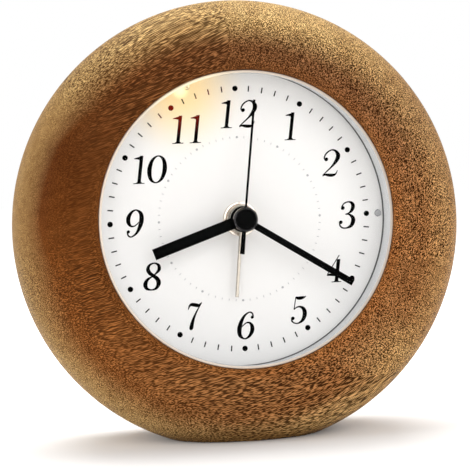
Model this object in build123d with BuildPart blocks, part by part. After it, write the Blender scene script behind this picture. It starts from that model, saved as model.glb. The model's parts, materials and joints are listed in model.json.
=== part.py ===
from build123d import *
import math
import os

# A round wooden desk alarm clock with a quartz movement, in millimetres.
# X is right, Y is into the clock and Z is up, as seen from the front.
# The origin is on the table, under the middle of the case.
# Round pieces turn about the dial axis, which runs along Y, and most places
# are pairs (right, up) measured from that axis.

# Turned wooden case
CASE_RADIUS = 60.0
CASE_DEPTH = 40.6
CASE_CENTRE_HEIGHT = 56.4  # less than the radius, so that the ring stands on a flat
DIAL_RISE = 1.7  # the dial axis is this far above the middle of the case
CREST_FLAT = 0.1  # least flat between the rounded outside and the lip
CREST_WIDTH = 2.1  # between the rounded outside and the recess in the back
OPENING_RADIUS = 38.7
LIP_WIDTH = 5.5
LIP_DEPTH = 2.5
LIP_LAND = 3.0
SEAT_STEP = 2.5  # the dial's seat is this much wider than the opening
CHAMBER_CLEARANCE = 4.2  # from the movement's rounded corners to the wood
COVER_SEAT = 5.0  # width of the step on which the back cover lies

# Clearances
FIT = 0.1  # between pieces that stay where they are
RUNNING = 0.08  # round a shaft
SLIDING = 0.3  # round a piece that slides or is lifted out
LEVEL_GAP = 0.3  # between one wheel and the next
PRESS = 0.02  # round a piece that is pressed on
OVERRUN = 1.0  # how far cuts run past the face that they open

# Dial, lens and the light grey cup between them
DIAL_DEPTH = 12.7
DIAL_THICKNESS = 0.8
RIM_SETBACK = 0.2
RIM_WALL = 0.65
LENS_THICKNESS = 1.3
LENS_SEAT = 0.55
CUP_FLARE = 1.9
SHADOW_GAP = 1.0
SHADOW_GAP_DEPTH = 0.7

# Night light and light sensor at the edge of the dial
LAMP_INSET = 1.4  # from the foot of the cup to the middle of the lamp
LAMP_DIRECTION = 109.9
SENSOR_DIRECTION = 0.0
LAMP_RADIUS = 0.85
LAMP_PROUD = 0.6
LAMP_BOARD = 5.6
LAMP_BOARD_WIDTH = 2.4
LAMP_BOARD_OFFSET = 0.3
LAMP_BOARD_THICKNESS = 0.9

# Hands, with angles in degrees clockwise from twelve
HOUR_ANGLE = 250.9
MINUTE_ANGLE = 122.25
SECOND_ANGLE = 6.8
ALARM_ANGLE = 185.7
HOUR_SHORTFALL = 13.4  # from each hand's tip to the edge of the opening
HOUR_WIDTH = 2.95
MINUTE_SHORTFALL = 4.9
MINUTE_WIDTH = 1.72
SECOND_SHORTFALL = 7.35
SECOND_WIDTH = 0.55
SECOND_TAIL = 9.1
SECOND_TAIL_WIDTH = 1.2
SECOND_TAIL_ROOT = 0.95  # the tail narrows to this at the arbor
ALARM_SHORTFALL = 18.0
ALARM_WIDTH = 0.75
HAND_THICKNESS = 0.5
HOUR_HUB_RADIUS = 3.45
MINUTE_HUB_RADIUS = 3.0
SECOND_HUB_RADIUS = 1.6
ALARM_HUB_RADIUS = 3.8
ALARM_HUB_DEPTH = 1.1
CAP_RADIUS = 3.2
CAP_DEPTH = 1.7
CAP_EDGE = 0.5
ALARM_HAND_RISE = 3.0  # dial to the front of each hand
HOUR_HAND_RISE = 5.3
MINUTE_HAND_RISE = 6.9
SECOND_HAND_RISE = 7.9

# Nested tubes that carry the hands
BUSHING_RADIUS = 3.9
BUSHING_RISE = 1.6
BUSHING_NUT_RADIUS = 4.6
BUSHING_NUT_DEPTH = 1.2
ALARM_TUBE_RADIUS = 3.25
HOUR_TUBE_RADIUS = 2.6
CANNON_TUBE_RADIUS = 1.75
SECOND_ARBOR_RADIUS = 0.55
ARBOR_RADIUS = 0.5
ROTOR_ARBOR_RADIUS = 0.4
STUD_RADIUS = 0.7
PIVOT_DEPTH = 0.8

# Movement
MOVEMENT_WIDTH = 55.0
MOVEMENT_DEPTH = 15.6
MOVEMENT_CORNER = 4.0
MOVEMENT_WALL = 0.9
PLATE = 1.2
MIDDLE_PLATE = 1.0
WHEEL_THICKNESS = 0.9
BOSS_RADIUS = 1.9
BOSS_INSET = 3.9
LOWER_BOSS_DROP = 8.6
SCREW_RADIUS = 0.8
SCREW_HEAD_RADIUS = 1.6
SCREW_HEAD_DEPTH = 0.9
MOVEMENT_SCREW_LENGTH = 7.0

# Teeth: counts, modules and the direction from one arbor to the next in degrees
SECOND_PINION_TEETH = 8
THIRD_WHEEL_TEETH = 60
THIRD_PINION_TEETH = 8
MINUTE_WHEEL_TEETH = 64
SECOND_WHEEL_TEETH = 40
INTERMEDIATE_PINION_TEETH = 8
INTERMEDIATE_WHEEL_TEETH = 36
ROTOR_PINION_TEETH = 6
CANNON_PINION_TEETH = 12
MOTION_WHEEL_TEETH = 36
MOTION_PINION_TEETH = 10
HOUR_WHEEL_TEETH = 40
SETTING_PINION_TEETH = 12
ALARM_WHEEL_TEETH = 40
ALARM_PINION_TEETH = 14
MINUTE_MODULE = 0.32
SECOND_MODULE = 0.4
ROTOR_MODULE = 0.35
MOTION_MODULE = 0.42
ALARM_MODULE = 0.48
THIRD_DIRECTION = 20.0
INTERMEDIATE_DIRECTION = 95.0
ROTOR_DIRECTION = 60.0
MOTION_DIRECTION = 150.0
TIME_KNOB_DIRECTION = 100.0
ALARM_KNOB_DIRECTION = 200.0
ADDENDUM_SHARE = 0.8
DEDENDUM_SHARE = 1.05
TOOTH_TIP_SHARE = 0.18
TOOTH_ROOT_SHARE = 0.48

# Stepping motor and electronics
MAGNET_RADIUS = 2.9
MAGNET_THICKNESS = 1.8
STATOR_THICKNESS = 1.0
STATOR_GAP = 0.4
STATOR_RING = 1.9
STATOR_SPAN = 18.0
STATOR_BAR = 2.4
COIL_RISE = 8.0
COIL_LENGTH = 15.2
COIL_RADIUS = 2.0
SPOOL_RADIUS = 1.55
SPOOL_FLANGE_RADIUS = 2.1
SPOOL_FLANGE = 0.8
BOARD_WIDTH = 10.0
BOARD_HEIGHT = 25.0
BOARD_THICKNESS = 1.0
BOARD_SPOT = (-20.7, 7.5)
CRYSTAL_RADIUS = 1.4
CRYSTAL_LENGTH = 8.0
CRYSTAL_RISE = 5.0
CHIP_WIDTH = 6.0
CHIP_THICKNESS = 1.3
CHIP_DROP = 6.0

# Cell and its contacts
CELL_RADIUS = 7.0
CELL_LENGTH = 50.5
CELL_NUB = 1.0
CELL_NUB_RADIUS = 2.75
CELL_DROP = 18.95
CELL_WALL = 0.6
CONTACT_THICKNESS = 0.4
CONTACT_WIDTH = 8.0
CONTACT_HEIGHT = 8.0
CONTACT_GAP = 0.15
DIMPLE_RADIUS = 2.0
CONTACT_SPRING_RADIUS = 4.2
CONTACT_SPRING_TIP = 2.4

# Back cover and its controls
COVER_GAP = 0.2
COVER_THICKNESS = 2.0
SKIRT_WALL = 1.4
COVER_SCREW_INSET = 2.1
COVER_SCREW_DIRECTIONS = (35.0, 145.0, 215.0, 325.0)
COVER_SCREW_LENGTH = 6.0
DOOR_REBATE = 1.2
DOOR_LEDGE = 1.2
DOOR_CORNER = 2.0
DOOR_RIBS = 4
DOOR_RIB_LENGTH = 9.0
DOOR_RIB_PITCH = 2.0
DOOR_RIB_RISE = 0.6
DOOR_RIB_WIDTH = 0.8
KNOB_RADIUS = 5.9
KNOB_DEPTH = 4.2
KNOB_STANDOFF = 0.6
KNOB_FLUTES = 20
KNOB_FLUTE_RADIUS = 0.55
KNOB_FINGER_RADIUS = 4.2
KNOB_FINGER_DEPTH = 1.0
KNOB_SHAFT_RADIUS = 1.3
SIDE_GAP = 6.1  # from the movement to the middle of each control beside it
BUZZER_RADIUS = 5.6
BUZZER_DEPTH = 3.0
GRILLE_SLOTS = 5
GRILLE_PITCH = 1.9
GRILLE_SLOT = 0.9
GRILLE_SPAN_SHARE = 0.8
SLIDER_WIDTH = 2.4
SLIDER_HEIGHT = 4.0
SLIDER_PROUD = 1.8
SLIDER_TRAVEL = 4.0
SWITCH_WIDTH = 6.0
SWITCH_HEIGHT = 13.0
SWITCH_DEPTH = 5.5
SWITCH_GROOVE = 1.5
BUTTON_RADIUS = 3.6
BUTTON_PROUD = 2.4
BUTTON_TRAVEL = 1.2
BUTTON_FLANGE = 0.8
BUTTON_FLANGE_DEPTH = 0.9
BUTTON_DOME = 0.7
BUTTON_STEM_RADIUS = 1.2
LIGHT_SWITCH_WIDTH = 6.2
LIGHT_SWITCH_DEPTH = 3.6
LIGHT_BOARD_HEIGHT = 10.6
LIGHT_BOARD_THICKNESS = 1.0

# Heights and depths that follow from the sizes above
DIAL_HEIGHT = CASE_CENTRE_HEIGHT + DIAL_RISE
CASE_FRONT = -CASE_DEPTH / 2
CASE_BACK = CASE_DEPTH / 2
LIP_RADIUS = OPENING_RADIUS + LIP_WIDTH
SEAT_RADIUS = OPENING_RADIUS + SEAT_STEP
CORNER_REACH = (MOVEMENT_WIDTH / 2 - MOVEMENT_CORNER) * math.sqrt(2) + MOVEMENT_CORNER
CHAMBER_RADIUS = CORNER_REACH + CHAMBER_CLEARANCE
RECESS_RADIUS = CHAMBER_RADIUS + COVER_SEAT
FRONT_CREST_RADIUS = LIP_RADIUS + DIAL_RISE + CREST_FLAT
BACK_CREST_RADIUS = RECESS_RADIUS + CREST_WIDTH
OPENING_EDGE = CASE_FRONT + LIP_DEPTH
LIP_BACK = OPENING_EDGE + LIP_LAND
RIM_FRONT = OPENING_EDGE + RIM_SETBACK
CUP_RADIUS = OPENING_RADIUS - FIT
LENS_RADIUS = CUP_RADIUS - RIM_WALL - FIT
LENS_FRONT = RIM_FRONT + FIT
LENS_BACK = LENS_FRONT + LENS_THICKNESS
CUP_MOUTH_RADIUS = LENS_RADIUS - LENS_SEAT
CUP_BASE_RADIUS = CUP_MOUTH_RADIUS + CUP_FLARE
LAMP_REACH = CUP_BASE_RADIUS - LAMP_INSET
DIAL_FRONT = OPENING_EDGE + DIAL_DEPTH
DIAL_BACK = DIAL_FRONT + DIAL_THICKNESS
DIAL_RADIUS = SEAT_RADIUS - FIT
SEAT_BACK = DIAL_BACK + LAMP_BOARD_THICKNESS + FIT
MOVEMENT_BACK = DIAL_BACK + MOVEMENT_DEPTH
FRONT_PLATE_BACK = DIAL_BACK + PLATE
REAR_PLATE_FRONT = MOVEMENT_BACK - PLATE
PIVOT_END = REAR_PLATE_FRONT + PIVOT_DEPTH
COVER_FRONT = MOVEMENT_BACK + COVER_GAP
COVER_BACK = COVER_FRONT + COVER_THICKNESS
COVER_RADIUS = RECESS_RADIUS - FIT
SKIRT_RADIUS = CHAMBER_RADIUS - FIT
INNER_WIDTH = MOVEMENT_WIDTH - 2 * MOVEMENT_WALL
COVER_SCREW_REACH = RECESS_RADIUS - COVER_SCREW_INSET
SIDE_REACH = MOVEMENT_WIDTH / 2 + SIDE_GAP

# Depths of the wheels, front to back, each behind the last
ALARM_WHEEL_FRONT = FRONT_PLATE_BACK + LEVEL_GAP
ALARM_WHEEL_BACK = ALARM_WHEEL_FRONT + WHEEL_THICKNESS
HOUR_WHEEL_FRONT = ALARM_WHEEL_BACK + LEVEL_GAP
HOUR_WHEEL_BACK = HOUR_WHEEL_FRONT + WHEEL_THICKNESS
MOTION_WHEEL_FRONT = HOUR_WHEEL_BACK + LEVEL_GAP
MOTION_WHEEL_BACK = MOTION_WHEEL_FRONT + WHEEL_THICKNESS
MIDDLE_FRONT = MOTION_WHEEL_BACK + LEVEL_GAP
MIDDLE_BACK = MIDDLE_FRONT + MIDDLE_PLATE
MINUTE_WHEEL_FRONT = MIDDLE_BACK + LEVEL_GAP
MINUTE_WHEEL_BACK = MINUTE_WHEEL_FRONT + WHEEL_THICKNESS
THIRD_WHEEL_FRONT = MINUTE_WHEEL_BACK + LEVEL_GAP
THIRD_WHEEL_BACK = THIRD_WHEEL_FRONT + WHEEL_THICKNESS
SECOND_WHEEL_FRONT = THIRD_WHEEL_BACK + LEVEL_GAP
SECOND_WHEEL_BACK = SECOND_WHEEL_FRONT + WHEEL_THICKNESS
INTERMEDIATE_WHEEL_FRONT = SECOND_WHEEL_BACK + LEVEL_GAP
INTERMEDIATE_WHEEL_BACK = INTERMEDIATE_WHEEL_FRONT + WHEEL_THICKNESS
MAGNET_FRONT = INTERMEDIATE_WHEEL_BACK + LEVEL_GAP
MAGNET_BACK = MAGNET_FRONT + MAGNET_THICKNESS
STATOR_MIDDLE = (MAGNET_FRONT + MAGNET_BACK) / 2
END_SHAKE = LEVEL_GAP / 3  # play of an arbor or tube along its length

# Lengths of the hands from the dial axis, and the depths of their fronts
HOUR_LENGTH = OPENING_RADIUS - HOUR_SHORTFALL
MINUTE_LENGTH = OPENING_RADIUS - MINUTE_SHORTFALL
SECOND_LENGTH = OPENING_RADIUS - SECOND_SHORTFALL
ALARM_LENGTH = OPENING_RADIUS - ALARM_SHORTFALL
ALARM_HAND_FRONT = DIAL_FRONT - ALARM_HAND_RISE
HOUR_HAND_FRONT = DIAL_FRONT - HOUR_HAND_RISE
MINUTE_HAND_FRONT = DIAL_FRONT - MINUTE_HAND_RISE
SECOND_HAND_FRONT = DIAL_FRONT - SECOND_HAND_RISE
CAP_FRONT = SECOND_HAND_FRONT - CAP_DEPTH


def facing(back, spot=(0, 0)):
    """Plane across the clock at depth `back`, on which x is right, y is up and the front is out."""
    right, up = spot
    return Plane(origin=(right, back, DIAL_HEIGHT + up), x_dir=(1, 0, 0), z_dir=(0, -1, 0))


def along_hand(back, angle):
    """The same plane, with its y along a hand at `angle` degrees clockwise from twelve."""
    turn = math.radians(angle)
    across = (math.cos(turn), 0, -math.sin(turn))
    return Plane(origin=(0, back, DIAL_HEIGHT), x_dir=across, z_dir=(0, -1, 0))


def profile_plane(height):
    """Plane for a turned profile: x is depth into the clock, y is the radius."""
    return Plane(origin=(0, 0, height), x_dir=(0, 1, 0), z_dir=(1, 0, 0))


def across_movement(right, depth, up):
    """Plane square to X, through a point given from the dial axis."""
    return Plane(origin=(right, depth, DIAL_HEIGHT + up), x_dir=(0, 1, 0), z_dir=(1, 0, 0))


def polar(start, reach, direction):
    """The spot at `reach` from `start`, in a direction counted from the right, anticlockwise."""
    turn = math.radians(direction)
    return (start[0] + reach * math.cos(turn), start[1] + reach * math.sin(turn))


def gear_points(teeth, module, turn=0.0):
    """Outline of a gear whose first tooth points in the direction `turn`, in degrees."""
    root_radius = teeth * module / 2 - DEDENDUM_SHARE * module
    tip_radius = teeth * module / 2 + ADDENDUM_SHARE * module
    pitch_angle = 360 / teeth
    corners = [
        (root_radius, -TOOTH_ROOT_SHARE / 2),
        (tip_radius, -TOOTH_TIP_SHARE / 2),
        (tip_radius, TOOTH_TIP_SHARE / 2),
        (root_radius, TOOTH_ROOT_SHARE / 2),
    ]
    return [
        polar((0, 0), radius, turn + (tooth + share) * pitch_angle)
        for tooth in range(teeth)
        for radius, share in corners
    ]


def meshing_turn(turn, teeth, other_teeth, direction):
    """Turn of the gear that lies in `direction` from one at `turn`, with its tooth in a gap."""
    tooth_share = (direction - turn) * teeth / 360
    return direction + 180 - (0.5 - tooth_share) * 360 / other_teeth


def centre_distance(module, teeth, other_teeth):
    """How far apart two meshing gears stand."""
    return module * (teeth + other_teeth) / 2


# Places of the arbors. Gears that share a pair of arbors share their distance.
THIRD_REACH = centre_distance(MINUTE_MODULE, THIRD_PINION_TEETH, MINUTE_WHEEL_TEETH)
THIRD_MODULE = 2 * THIRD_REACH / (SECOND_PINION_TEETH + THIRD_WHEEL_TEETH)
INTERMEDIATE_REACH = centre_distance(SECOND_MODULE, SECOND_WHEEL_TEETH, INTERMEDIATE_PINION_TEETH)
ROTOR_REACH = centre_distance(ROTOR_MODULE, INTERMEDIATE_WHEEL_TEETH, ROTOR_PINION_TEETH)
MOTION_REACH = centre_distance(MOTION_MODULE, CANNON_PINION_TEETH, MOTION_WHEEL_TEETH)
HOUR_MODULE = 2 * MOTION_REACH / (MOTION_PINION_TEETH + HOUR_WHEEL_TEETH)
TIME_KNOB_REACH = centre_distance(MOTION_MODULE, MOTION_WHEEL_TEETH, SETTING_PINION_TEETH)
ALARM_KNOB_REACH = centre_distance(ALARM_MODULE, ALARM_WHEEL_TEETH, ALARM_PINION_TEETH)
CENTRE = (0, 0)
THIRD_SPOT = polar(CENTRE, THIRD_REACH, THIRD_DIRECTION)
INTERMEDIATE_SPOT = polar(CENTRE, INTERMEDIATE_REACH, INTERMEDIATE_DIRECTION)
ROTOR_SPOT = polar(INTERMEDIATE_SPOT, ROTOR_REACH, ROTOR_DIRECTION)
MOTION_SPOT = polar(CENTRE, MOTION_REACH, MOTION_DIRECTION)
TIME_KNOB_SPOT = polar(MOTION_SPOT, TIME_KNOB_REACH, TIME_KNOB_DIRECTION)
ALARM_KNOB_SPOT = polar(CENTRE, ALARM_KNOB_REACH, ALARM_KNOB_DIRECTION)
LAMP_SPOT = polar(CENTRE, LAMP_REACH, LAMP_DIRECTION)
SENSOR_SPOT = polar(CENTRE, LAMP_REACH, SENSOR_DIRECTION)
LAMP_BOARD_SPOT = polar(CENTRE, LAMP_REACH + LAMP_BOARD_OFFSET, LAMP_DIRECTION)
SENSOR_BOARD_SPOT = polar(CENTRE, LAMP_REACH + LAMP_BOARD_OFFSET, SENSOR_DIRECTION)
BOSS_SPOTS = [
    (side * (MOVEMENT_WIDTH / 2 - BOSS_INSET), up)
    for side in (-1, 1)
    for up in (MOVEMENT_WIDTH / 2 - BOSS_INSET, -LOWER_BOSS_DROP)
]
COVER_SCREW_SPOTS = [
    polar((0, -DIAL_RISE), COVER_SCREW_REACH, direction) for direction in COVER_SCREW_DIRECTIONS
]
CELL_SPOT = (0, -CELL_DROP)
CELL_DEPTH = FRONT_PLATE_BACK + SLIDING + CELL_RADIUS  # depth of the cell's own axis
CELL_OPENING_WIDTH = CELL_LENGTH + 2 * SLIDING
CELL_OPENING_HEIGHT = 2 * (CELL_RADIUS + SLIDING)
CELL_WALL_UP = -CELL_DROP + CELL_RADIUS + FIT + CELL_WALL / 2
BUZZER_SPOT = (SIDE_REACH, 0)
SLIDER_SPOT = (-SIDE_REACH, 0)
BUTTON_SPOT = (0, SIDE_REACH)

# The lathe axes of the case and of everything that is round about the dial
case_axis = Axis((0, 0, CASE_CENTRE_HEIGHT), (0, 1, 0))
dial_axis = Axis((0, 0, DIAL_HEIGHT), (0, 1, 0))

# Wooden case, turned outside, then bored from both sides and planed flat underneath
with BuildPart() as wooden_case:
    with BuildSketch(profile_plane(CASE_CENTRE_HEIGHT)):
        with BuildLine():
            EllipticalCenterArc(
                (0, BACK_CREST_RADIUS), CASE_BACK, CASE_RADIUS - BACK_CREST_RADIUS, 0, arc_size=90
            )
            EllipticalCenterArc(
                (0, FRONT_CREST_RADIUS), CASE_BACK, CASE_RADIUS - FRONT_CREST_RADIUS, 90, arc_size=90
            )
            Polyline(
                (CASE_FRONT, FRONT_CREST_RADIUS),
                (CASE_FRONT, 0),
                (CASE_BACK, 0),
                (CASE_BACK, BACK_CREST_RADIUS),
            )
        make_face()
    revolve(axis=case_axis)
    with BuildSketch(profile_plane(DIAL_HEIGHT)):
        with BuildLine():
            EllipticalCenterArc(
                (OPENING_EDGE, LIP_RADIUS), LIP_DEPTH, LIP_RADIUS - OPENING_RADIUS, 180, arc_size=90
            )
            Polyline(
                (OPENING_EDGE, OPENING_RADIUS),
                (LIP_BACK, OPENING_RADIUS),
                (LIP_BACK, SEAT_RADIUS),
                (SEAT_BACK, SEAT_RADIUS),
                (SEAT_BACK, 0),
                (CASE_FRONT - OVERRUN, 0),
                (CASE_FRONT - OVERRUN, LIP_RADIUS),
                (CASE_FRONT, LIP_RADIUS),
            )
        make_face()
    revolve(axis=dial_axis, mode=Mode.SUBTRACT)
    with BuildSketch(facing(COVER_FRONT + OVERRUN)):
        Circle(CHAMBER_RADIUS)
    extrude(amount=COVER_FRONT + OVERRUN - DIAL_BACK, mode=Mode.SUBTRACT)
    with BuildSketch(facing(CASE_BACK + OVERRUN, (0, -DIAL_RISE))):
        Circle(RECESS_RADIUS)
    extrude(amount=CASE_BACK + OVERRUN - COVER_FRONT, mode=Mode.SUBTRACT)
    with BuildSketch(facing(COVER_FRONT)):
        with Locations(*COVER_SCREW_SPOTS):
            Circle(SCREW_RADIUS + FIT)
    extrude(amount=COVER_SCREW_LENGTH, mode=Mode.SUBTRACT)
    split(bisect_by=Plane.XY, keep=Keep.TOP)

# Light grey cup: a thin rim round the lens, and a wall that flares down to the dial
with BuildPart() as bezel_cup:
    with BuildSketch(profile_plane(DIAL_HEIGHT)):
        with BuildLine():
            Polyline(
                (RIM_FRONT, LENS_RADIUS + FIT),
                (RIM_FRONT, CUP_RADIUS),
                (LIP_BACK + FIT, CUP_RADIUS),
                (LIP_BACK + FIT, DIAL_RADIUS),
                (DIAL_FRONT, DIAL_RADIUS),
                (DIAL_FRONT, CUP_BASE_RADIUS + SHADOW_GAP_DEPTH),
                (DIAL_FRONT - SHADOW_GAP, CUP_BASE_RADIUS + SHADOW_GAP_DEPTH),
                (DIAL_FRONT - SHADOW_GAP, CUP_BASE_RADIUS),
                (LENS_BACK, CUP_MOUTH_RADIUS),
                (LENS_BACK, LENS_RADIUS + FIT),
                close=True,
            )
        make_face()
    revolve(axis=dial_axis)

with BuildPart() as lens:
    with BuildSketch(facing(LENS_BACK)):
        Circle(LENS_RADIUS)
    extrude(amount=LENS_THICKNESS)
    chamfer(lens.edges().group_by(Axis.Y)[0], length=FIT)

# Dial plate with holes for the hands, the night light and the light sensor
with BuildPart() as dial:
    with BuildSketch(facing(DIAL_BACK)):
        Circle(DIAL_RADIUS)
        Circle(BUSHING_RADIUS + FIT, mode=Mode.SUBTRACT)
        with Locations(LAMP_SPOT, SENSOR_SPOT):
            Circle(LAMP_RADIUS + FIT, mode=Mode.SUBTRACT)
    extrude(amount=DIAL_THICKNESS)

with BuildPart() as lamp_led:
    with BuildSketch(facing(DIAL_BACK, LAMP_SPOT)):
        Circle(LAMP_RADIUS)
    extrude(amount=DIAL_THICKNESS + LAMP_PROUD)
    fillet(lamp_led.edges().group_by(Axis.Y)[0], radius=LAMP_RADIUS / 2)

with BuildPart() as light_sensor:
    with BuildSketch(facing(DIAL_BACK, SENSOR_SPOT)):
        Circle(LAMP_RADIUS)
    extrude(amount=DIAL_THICKNESS + LAMP_PROUD / 2)
    chamfer(light_sensor.edges().group_by(Axis.Y)[0], length=FIT)

# Each stands on a small board of its own behind the dial
with BuildPart() as lamp_board:
    with BuildSketch(facing(DIAL_BACK + LAMP_BOARD_THICKNESS, LAMP_BOARD_SPOT)):
        Rectangle(LAMP_BOARD, LAMP_BOARD_WIDTH, rotation=LAMP_DIRECTION - 90)
    extrude(amount=LAMP_BOARD_THICKNESS)

with BuildPart() as sensor_board:
    with BuildSketch(facing(DIAL_BACK + LAMP_BOARD_THICKNESS, SENSOR_BOARD_SPOT)):
        Rectangle(LAMP_BOARD, LAMP_BOARD_WIDTH, rotation=SENSOR_DIRECTION - 90)
    extrude(amount=LAMP_BOARD_THICKNESS)

# Brass bushing through the dial, and the round nut that holds the dial to the movement
with BuildPart() as centre_bushing:
    with BuildSketch(facing(FRONT_PLATE_BACK)):
        Circle(BUSHING_RADIUS)
        Circle(ALARM_TUBE_RADIUS + RUNNING, mode=Mode.SUBTRACT)
    extrude(amount=FRONT_PLATE_BACK - DIAL_FRONT + BUSHING_RISE)

with BuildPart() as bushing_nut:
    with BuildSketch(facing(DIAL_FRONT)):
        Circle(BUSHING_NUT_RADIUS)
        Circle(BUSHING_RADIUS + PRESS, mode=Mode.SUBTRACT)
    extrude(amount=BUSHING_NUT_DEPTH)
    chamfer(bushing_nut.edges().group_by(Axis.Y)[0].sort_by(SortBy.RADIUS)[-1], length=FIT)

# Alarm hand on its wheel, which the alarm knob turns
with BuildPart() as alarm_hand:
    with BuildSketch(facing(ALARM_HAND_FRONT + ALARM_HUB_DEPTH)):
        Circle(ALARM_HUB_RADIUS)
        Circle(ALARM_TUBE_RADIUS + PRESS, mode=Mode.SUBTRACT)
    extrude(amount=ALARM_HUB_DEPTH)
    with BuildSketch(along_hand(ALARM_HAND_FRONT + HAND_THICKNESS, ALARM_ANGLE)):
        with Locations((0, (ALARM_LENGTH + ALARM_TUBE_RADIUS + FIT) / 2)):
            Rectangle(ALARM_WIDTH, ALARM_LENGTH - ALARM_TUBE_RADIUS - FIT)
    extrude(amount=HAND_THICKNESS)

with BuildPart() as alarm_wheel:
    with BuildSketch(facing(ALARM_WHEEL_BACK)):
        with BuildLine():
            Polyline(*gear_points(ALARM_WHEEL_TEETH, ALARM_MODULE), close=True)
        make_face()
    extrude(amount=WHEEL_THICKNESS)
    with BuildSketch(facing(ALARM_WHEEL_FRONT)):
        Circle(ALARM_TUBE_RADIUS)
    extrude(amount=ALARM_WHEEL_FRONT - ALARM_HAND_FRONT)
    with BuildSketch(facing(ALARM_WHEEL_BACK)):
        Circle(HOUR_TUBE_RADIUS + RUNNING)
    extrude(amount=ALARM_WHEEL_BACK - ALARM_HAND_FRONT, mode=Mode.SUBTRACT)

# Hour hand on the hour wheel
with BuildPart() as hour_hand:
    with BuildSketch(along_hand(HOUR_HAND_FRONT + HAND_THICKNESS, HOUR_ANGLE)):
        with Locations((0, HOUR_LENGTH / 2)):
            Rectangle(HOUR_WIDTH, HOUR_LENGTH)
        Circle(HOUR_HUB_RADIUS)
        Circle(HOUR_TUBE_RADIUS + PRESS, mode=Mode.SUBTRACT)
    extrude(amount=HAND_THICKNESS)

with BuildPart() as hour_wheel:
    HOUR_WHEEL_TURN = meshing_turn(
        0, MOTION_PINION_TEETH, HOUR_WHEEL_TEETH, MOTION_DIRECTION + 180
    )
    with BuildSketch(facing(HOUR_WHEEL_BACK)):
        with BuildLine():
            Polyline(*gear_points(HOUR_WHEEL_TEETH, HOUR_MODULE, HOUR_WHEEL_TURN), close=True)
        make_face()
    extrude(amount=WHEEL_THICKNESS)
    with BuildSketch(facing(HOUR_WHEEL_FRONT)):
        Circle(HOUR_TUBE_RADIUS)
    extrude(amount=HOUR_WHEEL_FRONT - HOUR_HAND_FRONT)
    with BuildSketch(facing(HOUR_WHEEL_BACK)):
        Circle(CANNON_TUBE_RADIUS + RUNNING)
    extrude(amount=HOUR_WHEEL_BACK - HOUR_HAND_FRONT, mode=Mode.SUBTRACT)

# Minute hand on the cannon pinion, a tube that runs back to the minute wheel
with BuildPart() as minute_hand:
    with BuildSketch(along_hand(MINUTE_HAND_FRONT + HAND_THICKNESS, MINUTE_ANGLE)):
        with Locations((0, MINUTE_LENGTH / 2)):
            Rectangle(MINUTE_WIDTH, MINUTE_LENGTH)
        Circle(MINUTE_HUB_RADIUS)
        Circle(CANNON_TUBE_RADIUS + PRESS, mode=Mode.SUBTRACT)
    extrude(amount=HAND_THICKNESS)

with BuildPart() as cannon_pinion:
    with BuildSketch(facing(MOTION_WHEEL_BACK)):
        with BuildLine():
            Polyline(*gear_points(CANNON_PINION_TEETH, MOTION_MODULE), close=True)
        make_face()
    extrude(amount=WHEEL_THICKNESS)
    with BuildSketch(facing(MINUTE_WHEEL_FRONT - END_SHAKE)):
        Circle(CANNON_TUBE_RADIUS)
    extrude(amount=MINUTE_WHEEL_FRONT - END_SHAKE - MINUTE_HAND_FRONT)
    with BuildSketch(facing(MINUTE_WHEEL_FRONT)):
        Circle(SECOND_ARBOR_RADIUS + RUNNING)
    extrude(amount=MINUTE_WHEEL_FRONT - MINUTE_HAND_FRONT, mode=Mode.SUBTRACT)

# Second hand and the cap over its hub, on the arbor of the second wheel
with BuildPart() as second_hand:
    with BuildSketch(along_hand(SECOND_HAND_FRONT + HAND_THICKNESS, SECOND_ANGLE)):
        with Locations((0, SECOND_LENGTH / 2)):
            Rectangle(SECOND_WIDTH, SECOND_LENGTH)
        Polygon(
            (-SECOND_TAIL_ROOT / 2, 0),
            (-SECOND_TAIL_WIDTH / 2, -SECOND_TAIL),
            (SECOND_TAIL_WIDTH / 2, -SECOND_TAIL),
            (SECOND_TAIL_ROOT / 2, 0),
            align=None,
        )
        Circle(SECOND_HUB_RADIUS)
        Circle(SECOND_ARBOR_RADIUS + PRESS, mode=Mode.SUBTRACT)
    extrude(amount=HAND_THICKNESS)

with BuildPart() as hand_cap:
    with BuildSketch(facing(SECOND_HAND_FRONT)):
        Circle(CAP_RADIUS)
    extrude(amount=CAP_DEPTH)
    fillet(hand_cap.edges().group_by(Axis.Y)[0], radius=CAP_EDGE)
    with BuildSketch(facing(SECOND_HAND_FRONT)):
        Circle(SECOND_ARBOR_RADIUS + PRESS)
    extrude(amount=CAP_DEPTH / 2, mode=Mode.SUBTRACT)

with BuildPart() as second_wheel:
    with BuildSketch(facing(SECOND_WHEEL_BACK)):
        with BuildLine():
            Polyline(*gear_points(SECOND_WHEEL_TEETH, SECOND_MODULE), close=True)
        make_face()
    extrude(amount=WHEEL_THICKNESS)
    with BuildSketch(facing(SECOND_WHEEL_FRONT)):
        with BuildLine():
            Polyline(*gear_points(SECOND_PINION_TEETH, THIRD_MODULE), close=True)
        make_face()
    extrude(amount=SECOND_WHEEL_FRONT - THIRD_WHEEL_FRONT + END_SHAKE)
    with BuildSketch(facing(PIVOT_END)):
        Circle(SECOND_ARBOR_RADIUS)
    extrude(amount=PIVOT_END - SECOND_HAND_FRONT + CAP_DEPTH / 2)

# Going train: minute wheel, third wheel, intermediate wheel and the motor's rotor
with BuildPart() as minute_wheel:
    MINUTE_WHEEL_TURN = meshing_turn(
        0, THIRD_PINION_TEETH, MINUTE_WHEEL_TEETH, THIRD_DIRECTION + 180
    )
    with BuildSketch(facing(MINUTE_WHEEL_BACK)):
        with BuildLine():
            Polyline(*gear_points(MINUTE_WHEEL_TEETH, MINUTE_MODULE, MINUTE_WHEEL_TURN), close=True)
        make_face()
        Circle(SECOND_ARBOR_RADIUS + RUNNING, mode=Mode.SUBTRACT)
    extrude(amount=WHEEL_THICKNESS)

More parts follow.
